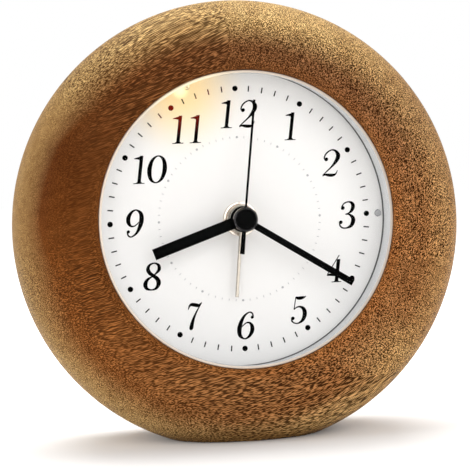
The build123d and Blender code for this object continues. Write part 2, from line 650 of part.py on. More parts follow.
with BuildPart() as third_wheel:
    THIRD_WHEEL_TURN = meshing_turn(0, SECOND_PINION_TEETH, THIRD_WHEEL_TEETH, THIRD_DIRECTION)
    with BuildSketch(facing(THIRD_WHEEL_BACK, THIRD_SPOT)):
        with BuildLine():
            Polyline(*gear_points(THIRD_WHEEL_TEETH, THIRD_MODULE, THIRD_WHEEL_TURN), close=True)
        make_face()
    extrude(amount=WHEEL_THICKNESS)
    with BuildSketch(facing(THIRD_WHEEL_FRONT, THIRD_SPOT)):
        with BuildLine():
            Polyline(*gear_points(THIRD_PINION_TEETH, MINUTE_MODULE), close=True)
        make_face()
    extrude(amount=THIRD_WHEEL_FRONT - MINUTE_WHEEL_FRONT + END_SHAKE)
    with BuildSketch(facing(PIVOT_END, THIRD_SPOT)):
        Circle(ARBOR_RADIUS)
    extrude(amount=PIVOT_END - MIDDLE_FRONT)

with BuildPart() as intermediate_wheel:
    INTERMEDIATE_PINION_TURN = meshing_turn(
        0, SECOND_WHEEL_TEETH, INTERMEDIATE_PINION_TEETH, INTERMEDIATE_DIRECTION
    )
    with BuildSketch(facing(INTERMEDIATE_WHEEL_BACK, INTERMEDIATE_SPOT)):
        with BuildLine():
            Polyline(*gear_points(INTERMEDIATE_WHEEL_TEETH, ROTOR_MODULE), close=True)
        make_face()
    extrude(amount=WHEEL_THICKNESS)
    with BuildSketch(facing(INTERMEDIATE_WHEEL_FRONT, INTERMEDIATE_SPOT)):
        with BuildLine():
            Polyline(
                *gear_points(INTERMEDIATE_PINION_TEETH, SECOND_MODULE, INTERMEDIATE_PINION_TURN),
                close=True,
            )
        make_face()
    extrude(amount=INTERMEDIATE_WHEEL_FRONT - SECOND_WHEEL_FRONT + END_SHAKE)
    with BuildSketch(facing(REAR_PLATE_FRONT - END_SHAKE, INTERMEDIATE_SPOT)):
        Circle(2 * STUD_RADIUS)
    extrude(amount=REAR_PLATE_FRONT - END_SHAKE - INTERMEDIATE_WHEEL_BACK)
    with BuildSketch(facing(REAR_PLATE_FRONT, INTERMEDIATE_SPOT)):
        Circle(STUD_RADIUS + RUNNING)
    extrude(amount=REAR_PLATE_FRONT - THIRD_WHEEL_BACK, mode=Mode.SUBTRACT)

with BuildPart() as rotor:
    ROTOR_PINION_TURN = meshing_turn(
        0, INTERMEDIATE_WHEEL_TEETH, ROTOR_PINION_TEETH, ROTOR_DIRECTION
    )
    with BuildSketch(facing(MAGNET_BACK, ROTOR_SPOT)):
        Circle(MAGNET_RADIUS)
    extrude(amount=MAGNET_THICKNESS)
    with BuildSketch(facing(MAGNET_FRONT, ROTOR_SPOT)):
        with BuildLine():
            Polyline(
                *gear_points(ROTOR_PINION_TEETH, ROTOR_MODULE, ROTOR_PINION_TURN), close=True
            )
        make_face()
    extrude(amount=MAGNET_FRONT - INTERMEDIATE_WHEEL_FRONT + END_SHAKE)
    with BuildSketch(facing(PIVOT_END, ROTOR_SPOT)):
        Circle(ROTOR_ARBOR_RADIUS)
    extrude(amount=PIVOT_END - MIDDLE_FRONT)

# Motion work: the wheel between the cannon pinion and the hour wheel
with BuildPart() as motion_wheel:
    MOTION_WHEEL_TURN = meshing_turn(
        0, CANNON_PINION_TEETH, MOTION_WHEEL_TEETH, MOTION_DIRECTION
    )
    with BuildSketch(facing(MOTION_WHEEL_BACK, MOTION_SPOT)):
        with BuildLine():
            Polyline(*gear_points(MOTION_WHEEL_TEETH, MOTION_MODULE, MOTION_WHEEL_TURN), close=True)
        make_face()
    extrude(amount=WHEEL_THICKNESS)
    with BuildSketch(facing(MOTION_WHEEL_FRONT, MOTION_SPOT)):
        with BuildLine():
            Polyline(*gear_points(MOTION_PINION_TEETH, HOUR_MODULE), close=True)
        make_face()
    extrude(amount=MOTION_WHEEL_FRONT - HOUR_WHEEL_FRONT)
    with BuildSketch(facing(MOTION_WHEEL_BACK, MOTION_SPOT)):
        Circle(STUD_RADIUS + RUNNING)
    extrude(amount=MOTION_WHEEL_BACK - HOUR_WHEEL_FRONT, mode=Mode.SUBTRACT)

# Setting knobs, each moulded in one piece with its shaft and pinion
KNOB_FRONT = COVER_BACK + KNOB_STANDOFF
KNOB_BACK = KNOB_FRONT + KNOB_DEPTH
with BuildPart() as time_knob:
    SETTING_PINION_TURN = meshing_turn(
        MOTION_WHEEL_TURN, MOTION_WHEEL_TEETH, SETTING_PINION_TEETH, TIME_KNOB_DIRECTION
    )
    with BuildSketch(facing(MOTION_WHEEL_BACK, TIME_KNOB_SPOT)):
        with BuildLine():
            Polyline(
                *gear_points(SETTING_PINION_TEETH, MOTION_MODULE, SETTING_PINION_TURN), close=True
            )
        make_face()
    extrude(amount=WHEEL_THICKNESS)
    with BuildSketch(facing(KNOB_FRONT, TIME_KNOB_SPOT)):
        Circle(KNOB_SHAFT_RADIUS)
    extrude(amount=KNOB_FRONT - MOTION_WHEEL_BACK)
    with BuildSketch(facing(KNOB_BACK, TIME_KNOB_SPOT)):
        Circle(KNOB_RADIUS)
        with PolarLocations(KNOB_RADIUS, KNOB_FLUTES):
            Circle(KNOB_FLUTE_RADIUS, mode=Mode.SUBTRACT)
    extrude(amount=KNOB_DEPTH)
    with BuildSketch(facing(KNOB_BACK, TIME_KNOB_SPOT)):
        Circle(KNOB_FINGER_RADIUS)
    extrude(amount=KNOB_FINGER_DEPTH, mode=Mode.SUBTRACT)

with BuildPart() as alarm_knob:
    ALARM_PINION_TURN = meshing_turn(
        0, ALARM_WHEEL_TEETH, ALARM_PINION_TEETH, ALARM_KNOB_DIRECTION
    )
    with BuildSketch(facing(ALARM_WHEEL_BACK, ALARM_KNOB_SPOT)):
        with BuildLine():
            Polyline(
                *gear_points(ALARM_PINION_TEETH, ALARM_MODULE, ALARM_PINION_TURN), close=True
            )
        make_face()
    extrude(amount=WHEEL_THICKNESS)
    with BuildSketch(facing(KNOB_FRONT, ALARM_KNOB_SPOT)):
        Circle(KNOB_SHAFT_RADIUS)
    extrude(amount=KNOB_FRONT - ALARM_WHEEL_BACK)
    with BuildSketch(facing(KNOB_BACK, ALARM_KNOB_SPOT)):
        Circle(KNOB_RADIUS)
        with PolarLocations(KNOB_RADIUS, KNOB_FLUTES):
            Circle(KNOB_FLUTE_RADIUS, mode=Mode.SUBTRACT)
    extrude(amount=KNOB_DEPTH)
    with BuildSketch(facing(KNOB_BACK, ALARM_KNOB_SPOT)):
        Circle(KNOB_FINGER_RADIUS)
    extrude(amount=KNOB_FINGER_DEPTH, mode=Mode.SUBTRACT)

# Movement case: a square tray with screw bosses and a wall beside the cell
with BuildPart() as movement_case:
    with BuildSketch(facing(REAR_PLATE_FRONT)):
        RectangleRounded(MOVEMENT_WIDTH, MOVEMENT_WIDTH, MOVEMENT_CORNER)
        RectangleRounded(
            INNER_WIDTH, INNER_WIDTH, MOVEMENT_CORNER - MOVEMENT_WALL, mode=Mode.SUBTRACT
        )
        with Locations((0, CELL_WALL_UP)):
            Rectangle(INNER_WIDTH, CELL_WALL)
        with Locations(*BOSS_SPOTS):
            Circle(BOSS_RADIUS)
    extrude(amount=REAR_PLATE_FRONT - FRONT_PLATE_BACK)
    with BuildSketch(facing(FRONT_PLATE_BACK)):
        RectangleRounded(MOVEMENT_WIDTH, MOVEMENT_WIDTH, MOVEMENT_CORNER)
        Circle(BUSHING_RADIUS + PRESS, mode=Mode.SUBTRACT)
    extrude(amount=PLATE)
    with BuildSketch(facing(REAR_PLATE_FRONT)):
        with Locations(*BOSS_SPOTS):
            Circle(SCREW_RADIUS + PRESS)
    extrude(amount=MOVEMENT_SCREW_LENGTH, mode=Mode.SUBTRACT)

# Middle plate: carries the stud of the motion wheel and the front pivots of the train
MIDDLE_PLATE_TOP = INNER_WIDTH / 2 - FIT
MIDDLE_PLATE_BOTTOM = CELL_WALL_UP + CELL_WALL / 2 + FIT
MIDDLE_PLATE_SPOT = (0, (MIDDLE_PLATE_TOP + MIDDLE_PLATE_BOTTOM) / 2)
with BuildPart() as middle_plate:
    with BuildSketch(facing(MIDDLE_BACK)):
        with Locations(MIDDLE_PLATE_SPOT):
            Rectangle(INNER_WIDTH - 2 * FIT, MIDDLE_PLATE_TOP - MIDDLE_PLATE_BOTTOM)
        with Locations(*BOSS_SPOTS):
            Circle(BOSS_RADIUS + FIT, mode=Mode.SUBTRACT)
        for side in (-1, 1):
            with Locations((side * INNER_WIDTH / 2, INNER_WIDTH / 2)):
                Rectangle(2 * BOSS_INSET, 2 * BOSS_INSET, mode=Mode.SUBTRACT)
            with Locations((side * INNER_WIDTH / 2, -LOWER_BOSS_DROP)):
                Rectangle(2 * BOSS_INSET, 2 * BOSS_INSET, mode=Mode.SUBTRACT)
        Circle(CANNON_TUBE_RADIUS + RUNNING, mode=Mode.SUBTRACT)
        with Locations(TIME_KNOB_SPOT, ALARM_KNOB_SPOT):
            Circle(KNOB_SHAFT_RADIUS + RUNNING, mode=Mode.SUBTRACT)
        with Locations(THIRD_SPOT):
            Circle(ARBOR_RADIUS + RUNNING, mode=Mode.SUBTRACT)
        with Locations(ROTOR_SPOT):
            Circle(ROTOR_ARBOR_RADIUS + RUNNING, mode=Mode.SUBTRACT)
    extrude(amount=MIDDLE_PLATE)
    with BuildSketch(facing(MIDDLE_FRONT, MOTION_SPOT)):
        Circle(STUD_RADIUS)
    extrude(amount=MIDDLE_FRONT - HOUR_WHEEL_FRONT)

# Rear plate: closes the tray, with the back pivots, the intermediate stud and the cell opening
with BuildPart() as movement_back:
    with BuildSketch(facing(MOVEMENT_BACK)):
        RectangleRounded(MOVEMENT_WIDTH, MOVEMENT_WIDTH, MOVEMENT_CORNER)
        with Locations(CELL_SPOT):
            Rectangle(CELL_OPENING_WIDTH, CELL_OPENING_HEIGHT, mode=Mode.SUBTRACT)
        with Locations(TIME_KNOB_SPOT, ALARM_KNOB_SPOT):
            Circle(KNOB_SHAFT_RADIUS + RUNNING, mode=Mode.SUBTRACT)
        with Locations(*BOSS_SPOTS):
            Circle(SCREW_RADIUS + FIT, mode=Mode.SUBTRACT)
    extrude(amount=PLATE)
    with BuildSketch(facing(MOVEMENT_BACK)):
        with Locations(*BOSS_SPOTS):
            Circle(SCREW_HEAD_RADIUS + FIT)
    extrude(amount=SCREW_HEAD_DEPTH, mode=Mode.SUBTRACT)
    for spot, radius in (
        (CENTRE, SECOND_ARBOR_RADIUS),
        (THIRD_SPOT, ARBOR_RADIUS),
        (ROTOR_SPOT, ROTOR_ARBOR_RADIUS),
    ):
        with BuildSketch(facing(PIVOT_END + END_SHAKE, spot)):
            Circle(radius + RUNNING)
        extrude(amount=PIVOT_DEPTH + END_SHAKE, mode=Mode.SUBTRACT)
    with BuildSketch(facing(REAR_PLATE_FRONT, INTERMEDIATE_SPOT)):
        Circle(STUD_RADIUS)
    extrude(amount=REAR_PLATE_FRONT - SECOND_WHEEL_FRONT)

with BuildPart() as movement_screws:
    with BuildSketch(facing(MOVEMENT_BACK - PRESS)):
        with Locations(*BOSS_SPOTS):
            Circle(SCREW_HEAD_RADIUS)
    extrude(amount=SCREW_HEAD_DEPTH - PRESS)
    with BuildSketch(facing(MOVEMENT_BACK - SCREW_HEAD_DEPTH)):
        with Locations(*BOSS_SPOTS):
            Circle(SCREW_RADIUS)
    extrude(amount=MOVEMENT_SCREW_LENGTH - FIT)

# Stepping motor: stator plate round the rotor, with the coil on its top bar
COIL_SPOT = (ROTOR_SPOT[0], ROTOR_SPOT[1] + COIL_RISE)
with BuildPart() as stator:
    with BuildSketch(facing(STATOR_MIDDLE + STATOR_THICKNESS / 2, ROTOR_SPOT)):
        Circle(MAGNET_RADIUS + STATOR_GAP + STATOR_RING)
        Rectangle(STATOR_SPAN, STATOR_BAR)
        for side in (-1, 1):
            with Locations((side * STATOR_SPAN / 2, COIL_RISE / 2)):
                Rectangle(STATOR_BAR, COIL_RISE + STATOR_BAR)
        with Locations((0, COIL_RISE)):
            Rectangle(STATOR_SPAN, STATOR_BAR)
        Circle(MAGNET_RADIUS + STATOR_GAP, mode=Mode.SUBTRACT)
    extrude(amount=STATOR_THICKNESS)

with BuildPart() as coil_spool:
    with BuildSketch(across_movement(COIL_SPOT[0], STATOR_MIDDLE, COIL_SPOT[1])):
        Circle(SPOOL_RADIUS)
    extrude(amount=COIL_LENGTH / 2, both=True)
    for side in (-1, 1):
        flange_right = COIL_SPOT[0] + side * (COIL_LENGTH - SPOOL_FLANGE) / 2
        with BuildSketch(across_movement(flange_right, STATOR_MIDDLE, COIL_SPOT[1])):
            Circle(SPOOL_FLANGE_RADIUS)
        extrude(amount=SPOOL_FLANGE / 2, both=True)
    with BuildSketch(across_movement(COIL_SPOT[0], STATOR_MIDDLE, COIL_SPOT[1])):
        Rectangle(STATOR_THICKNESS + 2 * PRESS, STATOR_BAR + 2 * PRESS)
    extrude(amount=COIL_LENGTH / 2, both=True, mode=Mode.SUBTRACT)

with BuildPart() as coil_winding:
    with BuildSketch(across_movement(COIL_SPOT[0], STATOR_MIDDLE, COIL_SPOT[1])):
        Circle(COIL_RADIUS)
        Circle(SPOOL_RADIUS + PRESS, mode=Mode.SUBTRACT)
    extrude(amount=COIL_LENGTH / 2 - SPOOL_FLANGE - PRESS, both=True)

# Circuit board on the rear plate, with the quartz crystal and the clock chip
BOARD_FRONT = REAR_PLATE_FRONT - BOARD_THICKNESS
with BuildPart() as circuit_board:
    with BuildSketch(facing(REAR_PLATE_FRONT, BOARD_SPOT)):
        Rectangle(BOARD_WIDTH, BOARD_HEIGHT)
    extrude(amount=BOARD_THICKNESS)

with BuildPart() as quartz_crystal:
    crystal_up = DIAL_HEIGHT + BOARD_SPOT[1] + CRYSTAL_RISE
    with BuildSketch(
        Plane.XY.offset(crystal_up).shift_origin(
            (BOARD_SPOT[0], BOARD_FRONT - CRYSTAL_RADIUS, crystal_up)
        )
    ):
        Circle(CRYSTAL_RADIUS)
    extrude(amount=CRYSTAL_LENGTH / 2, both=True)

with BuildPart() as clock_chip:
    with BuildSketch(facing(BOARD_FRONT, (BOARD_SPOT[0], BOARD_SPOT[1] - CHIP_DROP))):
        Rectangle(CHIP_WIDTH, CHIP_WIDTH)
    extrude(amount=CHIP_THICKNESS)

# Cell, with the flat end to the left, and a contact at each end
with BuildPart() as battery:
    with BuildSketch(across_movement(-CELL_LENGTH / 2, CELL_DEPTH, -CELL_DROP)):
        Circle(CELL_RADIUS)
    extrude(amount=CELL_LENGTH - CELL_NUB)
    with BuildSketch(across_movement(CELL_LENGTH / 2 - CELL_NUB, CELL_DEPTH, -CELL_DROP)):
        Circle(CELL_NUB_RADIUS)
    extrude(amount=CELL_NUB)

CONTACT_FACE = INNER_WIDTH / 2 - CONTACT_THICKNESS
with BuildPart() as positive_contact:
    with BuildSketch(across_movement(CONTACT_FACE, CELL_DEPTH, -CELL_DROP)):
        Rectangle(CONTACT_WIDTH, CONTACT_HEIGHT)
    extrude(amount=CONTACT_THICKNESS)
    with BuildSketch(across_movement(CELL_LENGTH / 2 + CONTACT_GAP, CELL_DEPTH, -CELL_DROP)):
        Circle(DIMPLE_RADIUS)
    extrude(amount=CONTACT_FACE - CELL_LENGTH / 2 - CONTACT_GAP)

with BuildPart() as negative_contact:
    with BuildSketch(across_movement(-INNER_WIDTH / 2, CELL_DEPTH, -CELL_DROP)):
        Rectangle(CONTACT_WIDTH, CONTACT_HEIGHT)
    extrude(amount=CONTACT_THICKNESS)
    with BuildSketch(across_movement(-CONTACT_FACE, CELL_DEPTH, -CELL_DROP)):
        Circle(CONTACT_SPRING_RADIUS)
    with BuildSketch(across_movement(-CELL_LENGTH / 2 - CONTACT_GAP, CELL_DEPTH, -CELL_DROP)):
        Circle(CONTACT_SPRING_TIP)
    loft()

# Back cover: a disc in the recess, with a skirt that holds the dial against the cup
DOOR_WIDTH = CELL_OPENING_WIDTH + 2 * DOOR_LEDGE
DOOR_HEIGHT = CELL_OPENING_HEIGHT + 2 * DOOR_LEDGE
with BuildPart() as rear_cover:
    with BuildSketch(facing(COVER_BACK, (0, -DIAL_RISE))):
        Circle(COVER_RADIUS)
    extrude(amount=COVER_THICKNESS)
    with BuildSketch(facing(COVER_FRONT)):
        Circle(SKIRT_RADIUS)
        Circle(SKIRT_RADIUS - SKIRT_WALL, mode=Mode.SUBTRACT)
    extrude(amount=COVER_FRONT - DIAL_BACK)
    with BuildSketch(facing(COVER_BACK)):
        with Locations(CELL_SPOT):
            Rectangle(CELL_OPENING_WIDTH, CELL_OPENING_HEIGHT)
        with Locations(TIME_KNOB_SPOT, ALARM_KNOB_SPOT):
            Circle(KNOB_SHAFT_RADIUS + SLIDING)
        with Locations(BUTTON_SPOT):
            Circle(BUTTON_RADIUS + SLIDING)
        with Locations((SLIDER_SPOT[0], SLIDER_SPOT[1] + SLIDER_TRAVEL / 2)):
            Rectangle(SLIDER_WIDTH + 2 * SLIDING, SLIDER_HEIGHT + SLIDER_TRAVEL + 2 * SLIDING)
        with Locations(BUZZER_SPOT):
            with GridLocations(GRILLE_PITCH, 0, GRILLE_SLOTS, 1):
                Rectangle(GRILLE_SLOT, 2 * BUZZER_RADIUS * GRILLE_SPAN_SHARE)
        with Locations(*COVER_SCREW_SPOTS):
            Circle(SCREW_RADIUS + FIT)
    extrude(amount=COVER_THICKNESS, mode=Mode.SUBTRACT)
    with BuildSketch(facing(COVER_BACK)):
        with Locations(*COVER_SCREW_SPOTS):
            Circle(SCREW_HEAD_RADIUS + FIT)
    extrude(amount=SCREW_HEAD_DEPTH, mode=Mode.SUBTRACT)
    with BuildSketch(facing(COVER_BACK, CELL_SPOT)):
        RectangleRounded(DOOR_WIDTH, DOOR_HEIGHT, DOOR_CORNER)
    extrude(amount=DOOR_REBATE, mode=Mode.SUBTRACT)

with BuildPart() as cover_screws:
    with BuildSketch(facing(COVER_BACK - PRESS)):
        with Locations(*COVER_SCREW_SPOTS):
            Circle(SCREW_HEAD_RADIUS)
    extrude(amount=SCREW_HEAD_DEPTH - PRESS)
    with BuildSketch(facing(COVER_BACK - SCREW_HEAD_DEPTH)):
        with Locations(*COVER_SCREW_SPOTS):
            Circle(SCREW_RADIUS)
    extrude(amount=COVER_SCREW_LENGTH)

with BuildPart() as battery_door:
    with BuildSketch(facing(COVER_BACK, CELL_SPOT)):
        RectangleRounded(
            DOOR_WIDTH - 2 * SLIDING, DOOR_HEIGHT - 2 * SLIDING, DOOR_CORNER - SLIDING
        )
    extrude(amount=DOOR_REBATE)
    with BuildSketch(facing(COVER_BACK + DOOR_RIB_RISE, CELL_SPOT)):
        with GridLocations(0, DOOR_RIB_PITCH, 1, DOOR_RIBS):
            Rectangle(DOOR_RIB_LENGTH, DOOR_RIB_WIDTH)
    extrude(amount=DOOR_RIB_RISE)

# Buzzer behind the grille
with BuildPart() as buzzer:
    with BuildSketch(facing(COVER_FRONT, BUZZER_SPOT)):
        Circle(BUZZER_RADIUS)
    extrude(amount=BUZZER_DEPTH)

# Alarm switch: a slider in a grooved body
SWITCH_SPOT = (SLIDER_SPOT[0], SLIDER_SPOT[1] + SLIDER_TRAVEL / 2)
with BuildPart() as switch_body:
    with BuildSketch(facing(COVER_FRONT, SWITCH_SPOT)):
        Rectangle(SWITCH_WIDTH, SWITCH_HEIGHT)
    extrude(amount=SWITCH_DEPTH)
    with BuildSketch(facing(COVER_FRONT, SWITCH_SPOT)):
        Rectangle(SLIDER_WIDTH + 2 * SLIDING, SLIDER_HEIGHT + SLIDER_TRAVEL + 2 * SLIDING)
    extrude(amount=SWITCH_GROOVE, mode=Mode.SUBTRACT)

with BuildPart() as alarm_slider:
    with BuildSketch(facing(COVER_BACK + SLIDER_PROUD, SLIDER_SPOT)):
        Rectangle(SLIDER_WIDTH, SLIDER_HEIGHT)
    extrude(amount=SLIDER_PROUD + COVER_THICKNESS + SWITCH_GROOVE - SLIDING)

# Light button, with a flange inside the cover and a stem in its switch
FLANGE_BACK = COVER_FRONT - FIT
BUTTON_BACK = COVER_BACK + BUTTON_PROUD
LIGHT_SWITCH_BACK = FLANGE_BACK - BUTTON_FLANGE_DEPTH - BUTTON_TRAVEL - SLIDING
with BuildPart() as light_button:
    with BuildSketch(facing(BUTTON_BACK, BUTTON_SPOT)):
        Circle(BUTTON_RADIUS)
    extrude(amount=BUTTON_BACK - FLANGE_BACK)
    fillet(light_button.edges().group_by(Axis.Y)[-1], radius=BUTTON_DOME)
    with BuildSketch(facing(FLANGE_BACK, BUTTON_SPOT)):
        Circle(BUTTON_RADIUS + BUTTON_FLANGE)
    extrude(amount=BUTTON_FLANGE_DEPTH)
    with BuildSketch(facing(FLANGE_BACK - BUTTON_FLANGE_DEPTH, BUTTON_SPOT)):
        Circle(BUTTON_STEM_RADIUS)
    extrude(amount=BUTTON_TRAVEL + 2 * SLIDING)

with BuildPart() as light_switch:
    with BuildSketch(facing(LIGHT_SWITCH_BACK, BUTTON_SPOT)):
        Rectangle(LIGHT_SWITCH_WIDTH, LIGHT_SWITCH_WIDTH)
    extrude(amount=LIGHT_SWITCH_DEPTH)
    with BuildSketch(facing(LIGHT_SWITCH_BACK, BUTTON_SPOT)):
        Circle(BUTTON_STEM_RADIUS + SLIDING)
    extrude(amount=BUTTON_TRAVEL + 2 * SLIDING, mode=Mode.SUBTRACT)

LIGHT_BOARD_BACK = LIGHT_SWITCH_BACK - LIGHT_SWITCH_DEPTH
LIGHT_BOARD_SPOT = (0, MOVEMENT_WIDTH / 2 + FIT + LIGHT_BOARD_HEIGHT / 2)
with BuildPart() as light_board:
    with BuildSketch(facing(LIGHT_BOARD_BACK, LIGHT_BOARD_SPOT)):
        Rectangle(LIGHT_BOARD_HEIGHT, LIGHT_BOARD_HEIGHT)
    extrude(amount=LIGHT_BOARD_THICKNESS)

pieces = {
    "wooden_case": wooden_case,
    "bezel_cup": bezel_cup,
    "lens": lens,
    "dial": dial,
    "lamp_led": lamp_led,
    "light_sensor": light_sensor,
    "lamp_board": lamp_board,
    "sensor_board": sensor_board,
    "centre_bushing": centre_bushing,
    "bushing_nut": bushing_nut,
    "alarm_hand": alarm_hand,
    "alarm_wheel": alarm_wheel,
    "hour_hand": hour_hand,
    "hour_wheel": hour_wheel,
    "minute_hand": minute_hand,
    "cannon_pinion": cannon_pinion,
    "second_hand": second_hand,
    "hand_cap": hand_cap,
    "second_wheel": second_wheel,
    "minute_wheel": minute_wheel,
    "third_wheel": third_wheel,
    "intermediate_wheel": intermediate_wheel,
    "rotor": rotor,
    "motion_wheel": motion_wheel,
    "time_knob": time_knob,
    "alarm_knob": alarm_knob,
    "movement_case": movement_case,
    "middle_plate": middle_plate,
    "movement_back": movement_back,
    "movement_screws": movement_screws,
    "stator": stator,
    "coil_spool": coil_spool,
    "coil_winding": coil_winding,
    "circuit_board": circuit_board,
    "quartz_crystal": quartz_crystal,
    "clock_chip": clock_chip,
    "battery": battery,
    "positive_contact": positive_contact,
    "negative_contact": negative_contact,
    "rear_cover": rear_cover,
    "cover_screws": cover_screws,
    "battery_door": battery_door,
    "buzzer": buzzer,
    "switch_body": switch_body,
    "alarm_slider": alarm_slider,
    "light_button": light_button,
    "light_switch": light_switch,
    "light_board": light_board,
}

os.makedirs("parts", exist_ok=True)
for name, piece in pieces.items():
    piece.part.label = name
    export_step(piece.part, f"parts/{name}.step")
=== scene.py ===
import json
import math

import bmesh
import bpy
from mathutils import Matrix, Vector
from mathutils.geometry import delaunay_2d_cdt


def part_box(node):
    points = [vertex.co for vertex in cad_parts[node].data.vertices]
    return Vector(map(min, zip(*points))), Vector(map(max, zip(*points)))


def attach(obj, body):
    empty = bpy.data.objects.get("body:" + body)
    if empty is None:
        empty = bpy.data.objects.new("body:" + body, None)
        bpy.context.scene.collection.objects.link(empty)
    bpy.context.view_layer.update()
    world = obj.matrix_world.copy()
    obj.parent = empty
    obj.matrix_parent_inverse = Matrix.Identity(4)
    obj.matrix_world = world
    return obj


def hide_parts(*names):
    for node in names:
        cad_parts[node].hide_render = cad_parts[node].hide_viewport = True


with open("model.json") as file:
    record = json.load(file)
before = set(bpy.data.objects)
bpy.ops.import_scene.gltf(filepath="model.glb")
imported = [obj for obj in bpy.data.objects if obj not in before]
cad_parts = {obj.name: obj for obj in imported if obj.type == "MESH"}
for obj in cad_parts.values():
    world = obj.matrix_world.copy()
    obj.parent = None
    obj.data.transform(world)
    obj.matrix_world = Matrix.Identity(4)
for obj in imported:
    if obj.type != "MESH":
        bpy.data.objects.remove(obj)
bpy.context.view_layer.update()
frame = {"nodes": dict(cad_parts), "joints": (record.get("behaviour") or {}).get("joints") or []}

MM = 0.001


def front_of(node):
    """Depth of a CAD node's front face, in metres. X is right, Y is into the clock, Z is up."""
    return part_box(node)[0].y


def back_of(node):
    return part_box(node)[1].y


# Places read from the frame
pivots = {joint["name"]: joint.get("pos_m") for joint in frame["joints"]}
DIAL_AXIS = pivots["minute_turn"][2]
DIAL_FRONT = front_of("dial")
DIAL_BACK = back_of("dial")
CASE_LOW, CASE_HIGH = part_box("wooden_case")
CASE_RADIUS = (CASE_HIGH.x - CASE_LOW.x) / 2
CASE_AXIS = CASE_HIGH.z - CASE_RADIUS
COVER_THICKNESS = 2.0 * MM
COVER_FRONT = back_of("rear_cover") - COVER_THICKNESS

# Steps round a circle or along a round edge
ROUND_STEPS = 256
SMALL_ROUND_STEPS = 128
BORE_STEPS = 48
DOT_STEPS = 24
BALL_STEPS = 20
CREST_STEPS = 36
LIP_STEPS = 16
RIM_STEPS = 4
FOOT_STEPS = 3

# Limits of the mesh code: points nearer than these are one, and sharper corners stay sharp
MERGE_DISTANCE = 1e-7
MERGE_MILLIMETRES = 1e-5
SHARP_ANGLE = 32
LEAST_MITRE = 0.3

# Sizes of the case, the same as its solid's
FRONT_CREST_RADIUS = 46.0 * MM
BACK_CREST_RADIUS = 48.534 * MM
OPENING_RADIUS = 38.7 * MM
LIP_RADIUS = 44.2 * MM
LIP_DEPTH = 2.5 * MM
LIP_LAND = 3.0 * MM
SEAT_RADIUS = 41.2 * MM
CHAMBER_RADIUS = 41.434 * MM
RECESS_RADIUS = 46.434 * MM
FOOT_EDGE = 0.5 * MM
OPENING_EDGE = CASE_LOW.y + LIP_DEPTH
FIT = 0.1 * MM

# Light grey cup between the case and the dial, and the lens in its mouth
CUP_RADIUS = OPENING_RADIUS - FIT
RIM_SETBACK = 0.2 * MM
RIM_FRONT = OPENING_EDGE + RIM_SETBACK
RIM_EDGE = 0.2 * MM
LENS_LOW, LENS_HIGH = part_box("lens")
LENS_RADIUS = (LENS_HIGH.x - LENS_LOW.x) / 2
LENS_EDGE = 0.1 * MM
CUP_MOUTH_RADIUS = LENS_RADIUS
CUP_FLARE = 1.35 * MM
CUP_BASE_RADIUS = CUP_MOUTH_RADIUS + CUP_FLARE
SHADOW_GAP = 1.0 * MM
SHADOW_GAP_DEPTH = 0.7 * MM

# Print on the dial, in millimetres from the dial axis
PRINT_RISE = 0.03 * MM
NUMERAL_HEIGHT = 7.35
NUMERAL_SLANT = math.tan(math.radians(8))
NUMERAL_WEIGHT = 1.15
NUMERAL_PLACES = {
    1: (14.4, 24.1), 2: (25.4, 13.9), 3: (29.2, -0.2), 4: (25.2, -14.5),
    5: (15.0, -25.1), 6: (0.4, -28.5), 7: (-13.0, -25.3), 8: (-24.1, -14.2),
    9: (-28.0, 0.0), 10: (-23.5, 14.0), 11: (-13.5, 24.2), 12: (0.8, 27.8),
}
MINUTE_TRACK = {
    "radius": 34.6, "marks": 60, "dot_every": 5, "dot": 0.73, "tick": 1.5, "width": 0.32
}
ALARM_TRACK = {
    "radius": 21.7, "marks": 72, "dot_every": 6, "dot": 0.32, "tick": 0.55, "width": 0.16
}

# Hands in millimetres and in degrees clockwise from twelve, the same as their solids'
HANDS = {
    "hour": {"angle": 250.9, "length": 25.3, "width": 2.95, "hub": 3.45, "bore": 2.62},
    "minute": {"angle": 122.25, "length": 33.8, "width": 1.72, "hub": 3.0, "bore": 1.77},
    "second": {"angle": 6.8, "length": 31.35, "width": 0.55, "hub": 1.6, "bore": 0.57},
    "alarm": {"angle": 185.7, "length": 20.7, "width": 0.75, "hub": 3.8, "bore": 3.27},
}
SECOND_TAIL = 9.1
SECOND_TAIL_WIDTH = 1.2
SECOND_TAIL_ROOT = 0.95
HAND_EDGE = 0.1

# Cap over the hubs, and the nut behind the hands
CAP_RADIUS = 3.2 * MM
CAP_FLAT_RADIUS = 2.8 * MM
CAP_FLAT_EDGE = 0.15 * MM
CAP_BEVEL_FROM = 0.02 * MM
CAP_BEVEL_TO = 0.45 * MM
CAP_EDGE = 0.08 * MM
CAP_BACK_EDGE = 0.1 * MM
NUT_RADIUS = 4.6 * MM
NUT_BORE = 3.92 * MM
NUT_EDGE = 0.25 * MM
NUT_BORE_EDGE = NUT_EDGE / 2
NUT_EDGE_MIDDLE = NUT_EDGE * 0.3

# Cross-head screws of the back cover, in millimetres and degrees
SCREW_REACH = 44.334
SCREW_DIRECTIONS = (35, 145, 215, 325)
SCREW_HEAD_RADIUS = 1.6
SCREW_HEAD_DEPTH = 0.88
SCREW_HEAD_EDGE = 0.12
SCREW_RADIUS = 0.8
SCREW_STEPS = 32
SCREW_POINT = 0.3
SCREW_CROSS = 1.9
SCREW_CROSS_WIDTH = 0.42
SCREW_CROSS_DEPTH = 0.5

# Camera: place, direction, tilt and roll found from the photograph's hour dots and outlines
CAMERA_PLACE = Vector((-72.1, -422.9, 69.7)) * MM
CAMERA_AZIMUTH = -9.59
CAMERA_TILT = -2.14
CAMERA_ROLL = 2.24
FOCAL_PIXELS = 1595.0
PHOTO_PIXELS = 470.0
SENSOR_WIDTH = 36.0
NEAREST_SEEN = 0.01

